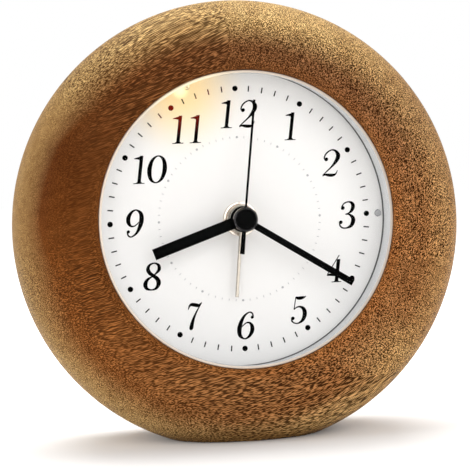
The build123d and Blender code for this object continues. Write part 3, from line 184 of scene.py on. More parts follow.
# Direction of the wood's grain, in degrees and per metre, and where it is cut end on
GRAIN_YAW = -6
GRAIN_SLOPE = 0.129
GRAIN_STEEPENING = 3.16
GRAIN_SWEEP = 6.4
END_GRAIN_FROM = -4 * MM
END_GRAIN_UPWARD = (16 * MM, 46 * MM, 0.3, 8.0)

# Noises of the wood: how far each is drawn out along the grain, and how fine it is
FLECK_NOISE = {"along": 0.065, "scale": 5400}
PORE_NOISE = {"along": 0.04, "scale": 3700}
BAND_NOISE = {"along": 0.08, "scale": 420, "detail": 3, "roughness": 0.6}
CLOUD_NOISE = {"along": 0.5, "scale": 60, "detail": 2}
FLECK_RANGE = (0.38, 0.62)
PORE_RANGE = (0.49, 0.57)
BAND_FADE = (0.42, 0.66, 0.0, 0.4)
CLOUD_FADE = (0.42, 0.65, 0.0, 0.3)

# Colours of the wood, linear. Those named shade or of flecks multiply the colour below them; the
# quiet, top and foot shades are painted shade.
WOOD_LEFT = (0.178, 0.058, 0.0128)
WOOD_RIGHT = (0.145, 0.059, 0.018)
# Golden outside: partly the wood's own tone, partly painted light where the flanks face the side
# lights
WOOD_OUTSIDE_TONE_AND_PAINTED_LIGHT = (0.335, 0.208, 0.078)
WOOD_LIP = (0.17, 0.055, 0.012)
WOOD_PORE = (0.045, 0.015, 0.004)
# Painted shade over the left middle, round the quiet spot
WOOD_QUIET_PAINTED_SHADE = (0.58, 0.51, 0.45)
# Painted shade, darker towards the top
WOOD_TOP_PAINTED_SHADE = (0.69, 0.70, 0.85)
WOOD_BAND_SHADE = (0.55, 0.44, 0.36)
WOOD_CLOUD_SHADE = (0.72, 0.60, 0.50)
# Painted contact shadow along the foot
WOOD_FOOT_PAINTED_SHADE = (0.45, 0.38, 0.30)
WOOD_FLECKS = [
    (0.0, (0.08, 0.06, 0.05)),
    (0.35, (0.31, 0.28, 0.25)),
    (0.50, (0.82, 0.81, 0.79)),
    (0.70, (2.10, 2.15, 2.25)),
    (1.0, (4.3, 4.8, 5.5)),
]

# Places on the wood, as (right, up) in metres, and the slant of the change from left to right
GOLDEN_AXIS = (-3 * MM, CASE_AXIS - 1.5 * MM)
# Centre of the painted shade on the left middle, where the figure is also quieter
QUIET_SPOT = (-52 * MM, 70 * MM)
PALE_SPOT = (42 * MM, 14 * MM)
SLANT_BELOW = 60 * MM
SLANT = 0.4

# Fades over the wood: where each starts and ends, in metres, and its strength at the two
# The golden fades place the outside colour, which is partly painted light on the flanks
GOLDEN_OUTWARD = (47 * MM, 57 * MM, 0.0, 1.0)
GOLDEN_RIGHTWARD = (12 * MM, 46 * MM, 1.0, 0.30)
# The golden, partly painted light, is held back round the quiet spot
GOLDEN_HELD_BACK = (10 * MM, 22 * MM, 0.3, 0.0)
PALE_FADE = (6 * MM, 22 * MM, 0.5, 0.0)
LEFT_TO_RIGHT = (-48 * MM, 20 * MM, 0.0, 1.0)
# Painted shade round the quiet spot
QUIET_PAINTED_SHADE_FADE = (8 * MM, 26 * MM, 1.0, 0.0)
LIP_FADE = (39.0 * MM, 42.5 * MM, 0.5, 0.0)
# Painted shade, growing towards the top
TOP_PAINTED_SHADE_FADE = (50 * MM, 90 * MM, 0.0, 0.8)
# Painted contact shadow, fading upward from the foot
FOOT_PAINTED_SHADE_FADE = (1 * MM, 5.5 * MM, 1.0, 0.0)
CONTRAST_FROM_QUIET = (18 * MM, 95 * MM, 0.17, 1.0)
CONTRAST_UPWARD = (0.0, 35 * MM, 0.75, 1.0)
PORES_FROM_QUIET = (10 * MM, 28 * MM, 0.15, 1.0)
PORES_UPWARD = (5 * MM, 50 * MM, 0.35, 1.0)
PORES_LEFT_TO_RIGHT = (0.0, 1.0, 1.0, 0.25)  # over the change from left to right

# Night light at the dial's edge: its place, its colours, and fades round it. Its light on the cup,
# dial and ink is painted light.
LAMP_SPOT = (-14.7 * MM, DIAL_AXIS + 34.6 * MM)
# Painted night-light light on the dial
LAMP_PAINTED_LIGHT_TINT = (0.93, 0.70, 0.34)
LAMP_LIGHT = (1.0, 0.88, 0.62)
LAMP_LINE_COLOUR = (0.42, 0.36, 0.22)
LAMP_STRENGTH = 0.35
LAMP_LINE_RANGE = (0.4, 0.6)
# Painted night-light light and glow on the cup
CUP_PAINTED_LAMP_LIGHT_FADE = (3 * MM, 18 * MM, 0.9, 0.0)
CUP_PAINTED_GLOW_FADE = (2 * MM, 15 * MM, 0.2, 0.0)
# Painted pool of night-light light, hot spot and glow on the dial
DIAL_PAINTED_LAMP_LIGHT_FADE = (2 * MM, 19 * MM, 0.9, 0.0)
DIAL_PAINTED_HOT_SPOT_FADE = (0.2 * MM, 3.0 * MM, 0.55, 0.0)
DIAL_PAINTED_GLOW_FADE = (1 * MM, 16 * MM, 0.10, 0.0)
# Painted night-light light on the ink
INK_PAINTED_LAMP_LIGHT_FADE = (5 * MM, 13 * MM, 1.0, 0.0)
INK_PAINTED_OLIVE_TO_RED = (4.3 * MM, 4.9 * MM)

# Colours of the front, linear
# Cream rim with painted light on the left and painted shade on the right
CUP_RIM_CREAM_PAINTED_LIGHT = (0.88, 0.76, 0.64)
CUP_RIM_CREAM_PAINTED_SHADE = (0.52, 0.45, 0.38)
CUP_WALL_COLOUR = (0.60, 0.61, 0.62)
# Painted night-light light on the cup
CUP_PAINTED_LAMP_LIGHT = (0.90, 0.78, 0.56)
CUP_SPECK = (0.3, 0.3, 0.3)
DIAL_WHITE = (0.93, 0.92, 0.905)
DIAL_SPECK = (0.6, 0.6, 0.6)
# Painted shadow line where the dial meets the cup wall
DIAL_PAINTED_SHADOW_LINE_COLOUR = (0.14, 0.14, 0.14)
DIAL_PAINTED_SHADOW_LINE = (39.0 * MM, 39.1 * MM)
BLACK = (0.0015, 0.0015, 0.0015)
# Painted night-light light on the ink: olive beside the lamp, red or warm farther off
INK_PAINTED_LAMP_OLIVE = (0.05, 0.04, 0.015)
INK_PAINTED_LAMP_RED = (0.20, 0.012, 0.006)
GREY_INK = (0.50, 0.50, 0.51)
GREY_INK_PAINTED_LAMP_LIGHT = (0.60, 0.46, 0.28)
CAP_BARE_METAL = (0.050, 0.048, 0.050)
CAP_BARE = (CAP_FLAT_RADIUS - 0.2 * MM, CAP_FLAT_RADIUS + 0.05 * MM)
LENS_COLOUR = (0.04, 0.05, 0.05)
LENS_ALPHA = 0.01

# Most noise lies in this range
NOISE_RANGE = (0.3, 0.7)

# Noise scales of the finishes, per metre
CUP_GRAIN = 2500
PAPER_GRAIN = 2200
INK_GRAIN = 3000
CAP_GRAIN = 3000
LENS_DUST = 500
LAMP_LINES = 900
METAL_MARKS = 900
PLASTIC_CLOUDS = 60

# Roughness between two values, and bumps as depth in metres and strength
WOOD_ROUGHNESS = (0.34, 0.5)
CUP_ROUGHNESS = (0.45, 0.55)
DIAL_ROUGHNESS = (0.50, 0.62)
INK_ROUGHNESS = (0.45, 0.6)
CAP_ROUGHNESS = (0.12, 0.2)
LENS_ROUGHNESS = (0.04, 0.09)
LAMP_ROUGHNESS = 0.3
WOOD_BUMP = (0.00003, 0.4)
CUP_BUMP = (0.000006, 0.3)
DIAL_BUMP = (0.000008, 0.25)
METAL_BUMP = (0.000006, 0.3)
PLASTIC_BUMP_STRENGTH = 0.4

# Spread of roughness, and how marks and lines are drawn out
PLASTIC_SPREAD = (-0.05, 0.07)
PLASTIC_GRAIN_ROUGHNESS = 0.6
METAL_SPREAD = (-0.06, 0.1)
METAL_MARKS_STRETCH = (1, 6, 1)
LAMP_LINES_STRETCH = (1, 1, 3)

# Share of speckle, of the darker tone, and of gloss
CUP_SPECK_SHARE = 0.06
DIAL_SPECK_SHARE = 0.04
PLASTIC_DARKER = 0.9
METAL_DARKER = 0.82
WOOD_GLOSS = 0.01
CUP_GLOSS = 0.15
DIAL_GLOSS = 0.15

# Plastics: colour and roughness, and if unlike the others grain, its depth, and gloss
PLASTICS = {
    "hand_black": (BLACK, 0.4, 0.15, 0.002, 0.0),
    "cover_black": ((0.022, 0.021, 0.020), 0.48),
    "knob_black": ((0.018, 0.018, 0.018), 0.38),
    "gear_white": ((0.80, 0.78, 0.70), 0.4),
    "board_green": ((0.02, 0.10, 0.04), 0.35),
    "cell_sleeve": ((0.10, 0.12, 0.15), 0.3),
    "sensor_grey": ((0.52, 0.52, 0.53), 0.25),
}

# Metals: colour and roughness
METALS = {
    "polished_brass": ((0.76, 0.68, 0.60), 0.18),
    "champagne_metal": ((0.52, 0.47, 0.40), 0.3),
    "steel": ((0.62, 0.62, 0.63), 0.28),
    "copper_wire": ((0.75, 0.33, 0.17), 0.28),
}

# Nodes that keep their solids' shapes, by their plastic or metal
PAINTED = {
    "sensor_grey": ["light_sensor"],
    "polished_brass": ["centre_bushing", "cannon_pinion"],
    "copper_wire": ["coil_winding"],
    "cell_sleeve": ["battery"],
    "hand_black": ["rotor", "clock_chip", "buzzer"],
    "cover_black": [
        "rear_cover", "battery_door", "movement_case", "middle_plate", "movement_back"
    ],
    "knob_black": [
        "time_knob", "alarm_knob", "alarm_slider", "switch_body", "light_button", "light_switch"
    ],
    "gear_white": [
        "hour_wheel", "alarm_wheel", "minute_wheel", "third_wheel", "second_wheel",
        "intermediate_wheel", "motion_wheel", "coil_spool",
    ],
    "board_green": ["lamp_board", "sensor_board", "circuit_board", "light_board"],
    "steel": [
        "movement_screws", "stator", "positive_contact", "negative_contact", "quartz_crystal"
    ],
}

# Lights: name, place, size and watts
LIGHT_TARGET = Vector((0, 0, 0.055))
SURROUND_LIGHT = 0.50
SOFTBOXES = [
    ("top_light", (0.02, 0.24, 0.76), (0.8, 0.5), 6.2),
    ("left_light", (-0.75, -0.12, 0.25), (0.25, 0.4), 3.0),
    ("right_light", (0.75, 0.05, 0.35), (0.4, 0.6), 2.4),
    ("front_light", (0.15, -1.30, 0.60), (1.8, 1.4), 12.0),
]

# Floor, which whitens away from the clock
FLOOR_REACH = 4.0
FLOOR_COLOUR = (0.78, 0.765, 0.75)
FLOOR_ROUGHNESS = 0.9
FLOOR_GLOW = (0.015, 0.14, 0.03, 0.68)


def feed(node, key, value):
    """Links a socket into an input of a node, or sets the input's value or colour."""
    entry = node.inputs[key]
    if isinstance(value, bpy.types.NodeSocket):
        node.id_data.links.new(value, entry)
    else:
        entry.default_value = (*value, 1.0) if entry.type == "RGBA" else value


def material_nodes(name, gloss=0.5):
    """A new material with its node tree and its Principled shader."""
    material = bpy.data.materials.new(name)
    material.use_nodes = True
    tree = material.node_tree
    shader = tree.nodes["Principled BSDF"]
    feed(shader, "Specular IOR Level", gloss)
    return material, tree, shader


def add_node(tree, kind, inputs=None, **settings):
    """Adds a node, sets its properties and feeds its inputs."""
    node = tree.nodes.new(kind)
    for key, value in settings.items():
        setattr(node, key, value)
    for key, value in (inputs or {}).items():
        feed(node, key, value)
    return node


def mapped(tree, vector, scale=(1, 1, 1), turn=(0, 0, 0)):
    """A vector turned by `turn` in degrees and then scaled."""
    rotation = [math.radians(angle) for angle in turn]
    for change in ({"Rotation": rotation}, {"Scale": scale}):
        vector = add_node(tree, "ShaderNodeMapping", {"Vector": vector, **change}).outputs[0]
    return vector


def object_place(tree):
    """Object coordinates, in metres."""
    return add_node(tree, "ShaderNodeTexCoord").outputs["Object"]


def noise(tree, coordinates, scale, detail=2.0, roughness=0.5):
    inputs = {"Vector": coordinates, "Scale": scale, "Detail": detail, "Roughness": roughness}
    return add_node(tree, "ShaderNodeTexNoise", inputs).outputs["Fac"]


def grain_noise(tree, grain, along, scale, detail=0, roughness=0.5):
    """Noise drawn out along the wood's grain."""
    return noise(tree, mapped(tree, grain, scale=(along, 1, 1)), scale, detail, roughness)


def stretch(tree, value, low, high, to_low=0.0, to_high=1.0, smooth=False):
    """Maps a value from low..high to to_low..to_high, held at the ends."""
    node = add_node(
        tree,
        "ShaderNodeMapRange",
        {"Value": value, "From Min": low, "From Max": high, "To Min": to_low, "To Max": to_high},
        clamp=True,
        interpolation_type="SMOOTHSTEP" if smooth else "LINEAR",
    )
    return node.outputs["Result"]


def math_node(tree, operation, first, second=0.0):
    inputs = {0: first, 1: second}
    return add_node(tree, "ShaderNodeMath", inputs, operation=operation).outputs[0]


def plus(tree, first, second):
    return math_node(tree, "ADD", first, second)


def minus(tree, first, second):
    return math_node(tree, "SUBTRACT", first, second)


def times(tree, first, second):
    return math_node(tree, "MULTIPLY", first, second)


def larger(tree, first, second):
    return math_node(tree, "MAXIMUM", first, second)


def ramp(tree, value, stops):
    """Colours along a value, from (place, colour) stops."""
    node = add_node(tree, "ShaderNodeValToRGB", {"Fac": value})
    elements = node.color_ramp.elements
    while len(elements) < len(stops):
        elements.new(1.0)
    for element, (place, colour) in zip(elements, stops):
        element.position = place
        element.color = (*colour, 1.0)
    return node.outputs["Color"]


def mix_colour(tree, factor, first, second, blend="MIX"):
    inputs = {0: factor, 6: first, 7: second}
    return add_node(tree, "ShaderNodeMix", inputs, data_type="RGBA", blend_type=blend).outputs[2]


def roughen(tree, shader, value, low, high):
    """Roughness that follows a noise between two values."""
    feed(shader, "Roughness", stretch(tree, value, *NOISE_RANGE, low, high))


def bump(tree, shader, height, distance, strength):
    inputs = {"Height": height, "Distance": distance, "Strength": strength}
    feed(shader, "Normal", add_node(tree, "ShaderNodeBump", inputs).outputs["Normal"])


def parts_of(tree, vector):
    """The X, Y and Z sockets of a vector."""
    return add_node(tree, "ShaderNodeSeparateXYZ", {"Vector": vector}).outputs


def joined(tree, x, y, z):
    return add_node(tree, "ShaderNodeCombineXYZ", {"X": x, "Y": y, "Z": z}).outputs[0]


def distance(tree, across, up):
    """Length of the line whose reach across and up is given."""
    squares = plus(tree, times(tree, across, across), times(tree, up, up))
    return math_node(tree, "SQRT", squares)


def radius_from(tree, right, up):
    """Distance from a line along Y through (right, up), in metres."""
    place = parts_of(tree, object_place(tree))
    return distance(tree, minus(tree, place["X"], right), minus(tree, place["Z"], up))


def grain_place(tree):
    """Coordinates whose X runs along the wood's grain.

    The grain points right and a little to the back, and rises to the right, more so near the
    top and on the right. It shows as streaks on the left half and along the bottom, and end on
    as dots on the upper right.
    """
    place = parts_of(tree, object_place(tree))
    right = larger(tree, place["X"], 0.0)
    swept = times(tree, times(tree, right, right), GRAIN_SWEEP)
    slope = plus(tree, times(tree, place["Z"], GRAIN_STEEPENING), GRAIN_SLOPE)
    risen = plus(tree, times(tree, place["X"], slope), swept)
    lowered = joined(tree, place["X"], place["Y"], minus(tree, place["Z"], risen))
    along = parts_of(tree, mapped(tree, lowered, turn=(0, 0, GRAIN_YAW)))
    past = larger(tree, minus(tree, place["X"], END_GRAIN_FROM), 0.0)
    cut = stretch(tree, place["Z"], *END_GRAIN_UPWARD)
    return joined(tree, plus(tree, along["X"], times(tree, past, cut)), along["Y"], along["Z"])


def wood_tone(tree, place, quiet, sideways):
    """Colour by place: golden where the outside turns away, partly the wood's tone and partly
    painted light on the flanks, red-brown round the opening, with painted shade on the left middle
    and over the top.
    """
    outward = stretch(tree, radius_from(tree, *GOLDEN_AXIS), *GOLDEN_OUTWARD, smooth=True)
    rightward = stretch(tree, place["X"], *GOLDEN_RIGHTWARD)
    held_back = stretch(tree, quiet, *GOLDEN_HELD_BACK)
    pale = stretch(tree, radius_from(tree, *PALE_SPOT), *PALE_FADE, smooth=True)
    golden_and_painted_light = larger(tree, minus(tree, times(tree, outward, rightward), held_back), pale)
    brown = mix_colour(tree, sideways, WOOD_LEFT, WOOD_RIGHT)
    # Painted shade on the left middle
    painted_shade = stretch(tree, quiet, *QUIET_PAINTED_SHADE_FADE)
    brown = mix_colour(tree, painted_shade, brown, WOOD_QUIET_PAINTED_SHADE, "MULTIPLY")
    lip = stretch(tree, radius_from(tree, 0.0, DIAL_AXIS), *LIP_FADE, smooth=True)
    brown = mix_colour(tree, lip, brown, WOOD_LIP)
    # Painted shade over the top
    high = stretch(tree, place["Z"], *TOP_PAINTED_SHADE_FADE, smooth=True)
    brown = mix_colour(tree, high, brown, WOOD_TOP_PAINTED_SHADE, "MULTIPLY")
    # Golden outside, partly painted light on the flanks
    return mix_colour(tree, golden_and_painted_light, brown, WOOD_OUTSIDE_TONE_AND_PAINTED_LIGHT)


def wood_figure(tree, place, quiet, colour, fleck):
    """The colour with pale and dark flecks, bands and clouds along the grain."""
    contrast = times(
        tree,
        stretch(tree, quiet, *CONTRAST_FROM_QUIET),
        stretch(tree, place["Z"], *CONTRAST_UPWARD),
    )
    flecks = ramp(tree, stretch(tree, fleck, *FLECK_RANGE), WOOD_FLECKS)
    colour = mix_colour(tree, contrast, colour, flecks, "MULTIPLY")
    grain = grain_place(tree)
    band = stretch(tree, grain_noise(tree, grain, **BAND_NOISE), *BAND_FADE)
    colour = mix_colour(tree, band, colour, WOOD_BAND_SHADE, "MULTIPLY")
    cloud = stretch(tree, grain_noise(tree, grain, **CLOUD_NOISE), *CLOUD_FADE)
    return mix_colour(tree, cloud, colour, WOOD_CLOUD_SHADE, "MULTIPLY")


def wood_material():
    """Turned hardwood with dark pores, which show most on the left and least near the foot, and
    painted shadow along the foot.
    """
    material, tree, shader = material_nodes("turned_wood", WOOD_GLOSS)
    place = parts_of(tree, object_place(tree))
    grain = grain_place(tree)
    fleck = grain_noise(tree, grain, **FLECK_NOISE)
    pores = stretch(tree, grain_noise(tree, grain, **PORE_NOISE), *PORE_RANGE)
    quiet = radius_from(tree, *QUIET_SPOT)
    below = larger(tree, minus(tree, SLANT_BELOW, place["Z"]), 0.0)
    slanted = plus(tree, place["X"], times(tree, below, SLANT))
    sideways = stretch(tree, slanted, *LEFT_TO_RIGHT, smooth=True)
    colour = wood_tone(tree, place, quiet, sideways)
    colour = wood_figure(tree, place, quiet, colour, fleck)
    streaky = times(
        tree,
        stretch(tree, quiet, *PORES_FROM_QUIET),
        stretch(tree, sideways, *PORES_LEFT_TO_RIGHT),
    )
    raised = stretch(tree, place["Z"], *PORES_UPWARD)
    dark_pores = times(tree, pores, times(tree, streaky, raised))
    colour = mix_colour(tree, dark_pores, colour, WOOD_PORE)
    # Painted contact shadow along the foot
    foot = stretch(tree, place["Z"], *FOOT_PAINTED_SHADE_FADE)
    colour = mix_colour(tree, foot, colour, WOOD_FOOT_PAINTED_SHADE, "MULTIPLY")
    feed(shader, "Base Color", colour)
    roughen(tree, shader, fleck, *WOOD_ROUGHNESS)
    bump(tree, shader, minus(tree, fleck, pores), *WOOD_BUMP)
    return material


def plastic_material(name, colour, roughness, grain=0.35, depth=0.01, gloss=0.5):
    """Moulded plastic, slightly uneven in colour. Grain and its depth in millimetres."""
    material, tree, shader = material_nodes(name, gloss)
    place = object_place(tree)
    fine = noise(tree, place, 1 / (grain * MM), roughness=PLASTIC_GRAIN_ROUGHNESS)
    darker = tuple(channel * PLASTIC_DARKER for channel in colour)
    clouds = stretch(tree, noise(tree, place, PLASTIC_CLOUDS), *NOISE_RANGE)
    feed(shader, "Base Color", mix_colour(tree, clouds, colour, darker))
    roughen(tree, shader, fine, *(roughness + part for part in PLASTIC_SPREAD))
    bump(tree, shader, fine, depth * MM, PLASTIC_BUMP_STRENGTH)
    return material


def metal_material(name, colour, roughness):
    """Turned or rolled metal with fine marks."""
    material, tree, shader = material_nodes(name)
    feed(shader, "Metallic", 1.0)
    marks = mapped(tree, object_place(tree), scale=METAL_MARKS_STRETCH)
    lines = stretch(tree, noise(tree, marks, METAL_MARKS), *NOISE_RANGE)
    darker = tuple(channel * METAL_DARKER for channel in colour)
    feed(shader, "Base Color", mix_colour(tree, lines, colour, darker))
    sheen = stretch(tree, lines, 0.0, 1.0, *(roughness + part for part in METAL_SPREAD))
    feed(shader, "Roughness", sheen)
    bump(tree, shader, lines, *METAL_BUMP)
    return material


def cup_material():
    """Light grey plastic whose rim is cream, painted lighter on the left and darker on the right,
    with painted light and glow from the night light near it.
    """
    material, tree, shader = material_nodes("cup_plastic", CUP_GLOSS)
    place = parts_of(tree, object_place(tree))
    fine = noise(tree, object_place(tree), CUP_GRAIN)
    # Painted light on the rim's left, painted shade on its right
    across = stretch(tree, place["X"], -CUP_RADIUS, CUP_RADIUS)
    cream_painted_lit_and_shaded = mix_colour(tree, across, CUP_RIM_CREAM_PAINTED_LIGHT, CUP_RIM_CREAM_PAINTED_SHADE)
    depth = stretch(tree, place["Y"], RIM_FRONT + RIM_EDGE, RIM_FRONT + 2 * RIM_EDGE)
    tint = mix_colour(tree, depth, cream_painted_lit_and_shaded, CUP_WALL_COLOUR)
    specks = stretch(tree, fine, *NOISE_RANGE, 0.0, CUP_SPECK_SHARE)
    mottled = mix_colour(tree, specks, tint, CUP_SPECK)
    from_lamp = radius_from(tree, *LAMP_SPOT)
    # Painted pool of night-light light on the cup
    painted_lamp_light = stretch(tree, from_lamp, *CUP_PAINTED_LAMP_LIGHT_FADE, smooth=True)
    feed(shader, "Base Color", mix_colour(tree, painted_lamp_light, mottled, CUP_PAINTED_LAMP_LIGHT))
    # Painted glow on the cup near the night light, though the cup is no lamp
    painted_lamp_warmth = stretch(tree, from_lamp, *CUP_PAINTED_GLOW_FADE, smooth=True)
    feed(shader, "Emission Strength", painted_lamp_warmth)
    feed(shader, "Emission Color", LAMP_LIGHT)
    roughen(tree, shader, fine, *CUP_ROUGHNESS)
    bump(tree, shader, fine, *CUP_BUMP)
    return material


def dial_material():
    """Matt white card with a painted shadow line at its edge, and painted warm light, hot spot and
    glow where the night light floods it.
    """
    material, tree, shader = material_nodes("dial_card", DIAL_GLOSS)
    paper = noise(tree, object_place(tree), PAPER_GRAIN)
    # Painted shadow line at the dial's edge
    painted_shadow_line = stretch(tree, radius_from(tree, 0.0, DIAL_AXIS), *DIAL_PAINTED_SHADOW_LINE)
    white = mix_colour(tree, painted_shadow_line, DIAL_WHITE, DIAL_PAINTED_SHADOW_LINE_COLOUR)
    specks = stretch(tree, paper, *NOISE_RANGE, 0.0, DIAL_SPECK_SHARE)
    toothed = mix_colour(tree, specks, white, DIAL_SPECK)
    from_lamp = radius_from(tree, *LAMP_SPOT)
    # Painted pool of night-light light on the dial
    painted_lamp_light = stretch(tree, from_lamp, *DIAL_PAINTED_LAMP_LIGHT_FADE, smooth=True)
    feed(shader, "Base Color", mix_colour(tree, painted_lamp_light, toothed, LAMP_PAINTED_LIGHT_TINT))
    # Painted hot spot and glow on the dial, though the card is no lamp
    painted_hot_spot = stretch(tree, from_lamp, *DIAL_PAINTED_HOT_SPOT_FADE, smooth=True)
    painted_lamp_warmth = stretch(tree, from_lamp, *DIAL_PAINTED_GLOW_FADE, smooth=True)
    feed(shader, "Emission Strength", plus(tree, painted_hot_spot, painted_lamp_warmth))
    feed(shader, "Emission Color", LAMP_LIGHT)
    roughen(tree, shader, paper, *DIAL_ROUGHNESS)
    bump(tree, shader, paper, *DIAL_BUMP)
    return material


def ink_material(name, colour, painted_lamp_colour):
    """Printed ink with painted night-light light on it: olive beside the night light and warm a
    little farther off.
    """
    material, tree, shader = material_nodes(name, gloss=0.0)
    from_lamp = radius_from(tree, *LAMP_SPOT)
    # Painted night-light light on the ink
    painted_lamp_reach = stretch(tree, from_lamp, *INK_PAINTED_LAMP_LIGHT_FADE, smooth=True)
    painted_lamp_warmth = mix_colour(tree, stretch(tree, from_lamp, *INK_PAINTED_OLIVE_TO_RED), INK_PAINTED_LAMP_OLIVE, painted_lamp_colour)
    feed(shader, "Base Color", mix_colour(tree, painted_lamp_reach, colour, painted_lamp_warmth))
    rough = noise(tree, object_place(tree), INK_GRAIN, detail=1)
    roughen(tree, shader, rough, *INK_ROUGHNESS)
    return material


def lens_material():
    """Clear acrylic, seen only by its faint gloss."""
    material, tree, shader = material_nodes("clear_lens")
    feed(shader, "Base Color", LENS_COLOUR)
    feed(shader, "Alpha", LENS_ALPHA)
    roughen(tree, shader, noise(tree, object_place(tree), LENS_DUST), *LENS_ROUGHNESS)
    return material


def cap_material():
    """Black lacquer with a bare polished bevel."""
    material, tree, shader = material_nodes("cap_lacquer", gloss=0.0)
    bare = stretch(tree, radius_from(tree, 0.0, DIAL_AXIS), *CAP_BARE)
    feed(shader, "Base Color", mix_colour(tree, bare, BLACK, CAP_BARE_METAL))
    feed(shader, "Metallic", bare)
    roughen(tree, shader, noise(tree, object_place(tree), CAP_GRAIN), *CAP_ROUGHNESS)
    return material


def lamp_material():
    """Lit warm lamp under a milky dome with darker lines."""
    material, tree, shader = material_nodes("lamp_dome")
    place = mapped(tree, object_place(tree), scale=LAMP_LINES_STRETCH)
    lines = stretch(tree, noise(tree, place, LAMP_LINES, detail=1), *LAMP_LINE_RANGE)
    tint = mix_colour(tree, lines, LAMP_LIGHT, LAMP_LINE_COLOUR)
    feed(shader, "Base Color", tint)
    feed(shader, "Emission Color", tint)
    feed(shader, "Emission Strength", LAMP_STRENGTH)
    feed(shader, "Roughness", LAMP_ROUGHNESS)
    return material


def add_object(name, data):
    made = bpy.data.objects.new(name, data)
    bpy.context.scene.collection.objects.link(made)
    return made


def on_dial(right, up, depth):
    """Point in metres, from millimetres right of and above the dial axis and a depth in metres."""
    return (right * MM, depth, DIAL_AXIS + up * MM)


def make_piece(name, built, material, body, slot, *nodes):
    """Makes a piece from a bmesh, with smooth faces and sharp edges.

    It rides on a body and hides the nodes that it replaces. Its slot is not used.
    """
    bmesh.ops.remove_doubles(built, verts=built.verts, dist=MERGE_DISTANCE)
    bmesh.ops.recalc_face_normals(built, faces=built.faces)
    mesh = bpy.data.meshes.new(name)
    built.to_mesh(mesh)
    built.free()
    for polygon in mesh.polygons:
        polygon.use_smooth = True
    mesh.set_sharp_from_angle(angle=math.radians(SHARP_ANGLE))
    mesh.materials.append(material)
    piece = add_object(name, mesh)
    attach(piece, body)
    if nodes:
        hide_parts(*nodes)


def circle(radius, centre=(0.0, 0.0), steps=64):
    x, y = centre
    turns = [2 * math.pi * i / steps for i in range(steps)]
    return [(x + radius * math.cos(turn), y + radius * math.sin(turn)) for turn in turns]


def bar(x0, y0, x1, y1, width, end_width=None):
    """Outline of a straight stroke, even or tapering to `end_width`."""
    length = math.hypot(x1 - x0, y1 - y0)
    across = (-(y1 - y0) / length / 2, (x1 - x0) / length / 2)
    end_width = width if end_width is None else end_width
    return [
        (x0 + across[0] * width, y0 + across[1] * width),
        (x0 - across[0] * width, y0 - across[1] * width),
        (x1 - across[0] * end_width, y1 - across[1] * end_width),
        (x1 + across[0] * end_width, y1 + across[1] * end_width),
    ]


def clockwise(outline, angle):
    """An outline turned clockwise about the dial axis."""
    turn = math.radians(angle)
    return [
        (x * math.cos(turn) + y * math.sin(turn), y * math.cos(turn) - x * math.sin(turn))
        for x, y in outline
    ]


def clock_place(radius, angle):
    """Point (right, up) at a radius and an angle clockwise from twelve."""
    return radius * math.sin(math.radians(angle)), radius * math.cos(math.radians(angle))


def cut_out(shapes, holes=()):
    """Joins flat shapes and takes the holes out of them.

    Returns the points, the triangles between them, and the outer edges with the inside on
    their left.
    """
    points, faces = [], []
    for outline in (*shapes, *holes):
        area = sum(a[0] * b[1] - b[0] * a[1] for a, b in zip(outline, outline[1:] + outline[:1]))
        faces.append(list(range(len(points), len(points) + len(outline))))
        points += [Vector(point) for point in (outline if area > 0 else outline[::-1])]
    points, _, found, _, _, sources = delaunay_2d_cdt(points, [], faces, 1, MERGE_MILLIMETRES)
    triangles = [
        tuple(face) for face, source in zip(found, sources) if source and max(source) < len(shapes)
    ]
    directed = dict.fromkeys(
        (a, b) for face in triangles for a, b in zip(face, face[1:] + face[:1])
    )
    return points, triangles, [(a, b) for a, b in directed if (b, a) not in directed]


def mitres(points, edges):
    """For each outer point, the way into the material that moves both its edges by one unit."""
    normals = {}
    for a, b in edges:
        along = (points[b] - points[a]).normalized()
        for end in (a, b):
            normals.setdefault(end, []).append(Vector((-along.y, along.x)))
    still = Vector((0.0, 0.0))
    ways = {}
    for point, pair in normals.items():
        spread = max(1 + pair[0].dot(pair[-1]), LEAST_MITRE)
        ways[point] = sum(pair, still) / spread if len(pair) == 2 else still
    return ways


def prism(built, shapes, holes, levels, caps=(True, True)):
    """Adds a straight-sided solid to a bmesh. `levels` are (depth, inset in millimetres)."""
    points, triangles, edges = cut_out(shapes, holes)
    inward = mitres(points, edges)
    rows = []
    for depth, inset in levels:
        moved = {point: points[point] + way * inset for point, way in inward.items()}
        rows.append({i: built.verts.new(on_dial(p.x, p.y, depth)) for i, p in moved.items()})
    for first, second in zip(rows, rows[1:]):
        for a, b in edges:
            built.faces.new((first[a], first[b], second[b], second[a]))
    for wanted, row, (depth, _) in zip(caps, (rows[0], rows[-1]), (levels[0], levels[-1])):
        if not wanted:
            continue
        corners = dict(row)
        for face in triangles:
            for point in face:
                if point not in corners:
                    place = on_dial(points[point].x, points[point].y, depth)
                    corners[point] = built.verts.new(place)
            built.faces.new([corners[point] for point in face])


def plate(built, shapes, holes, front, back, edge):
    """A flat plate whose front and back edges are bevelled by `edge` millimetres."""
    levels = [(back, edge), (back - edge * MM, 0.0), (front + edge * MM, 0.0), (front, edge)]
    prism(built, shapes, holes, levels)


def quarter(centre, depth_axis, radius_axis, start, end, steps):
    """Points (depth, radius) on an ellipse, from `start` to `end` degrees."""
    turns = [math.radians(start + (end - start) * i / steps) for i in range(steps + 1)]
    return [
        (centre[0] + depth_axis * math.cos(turn), centre[1] + radius_axis * math.sin(turn))
        for turn in turns
    ]


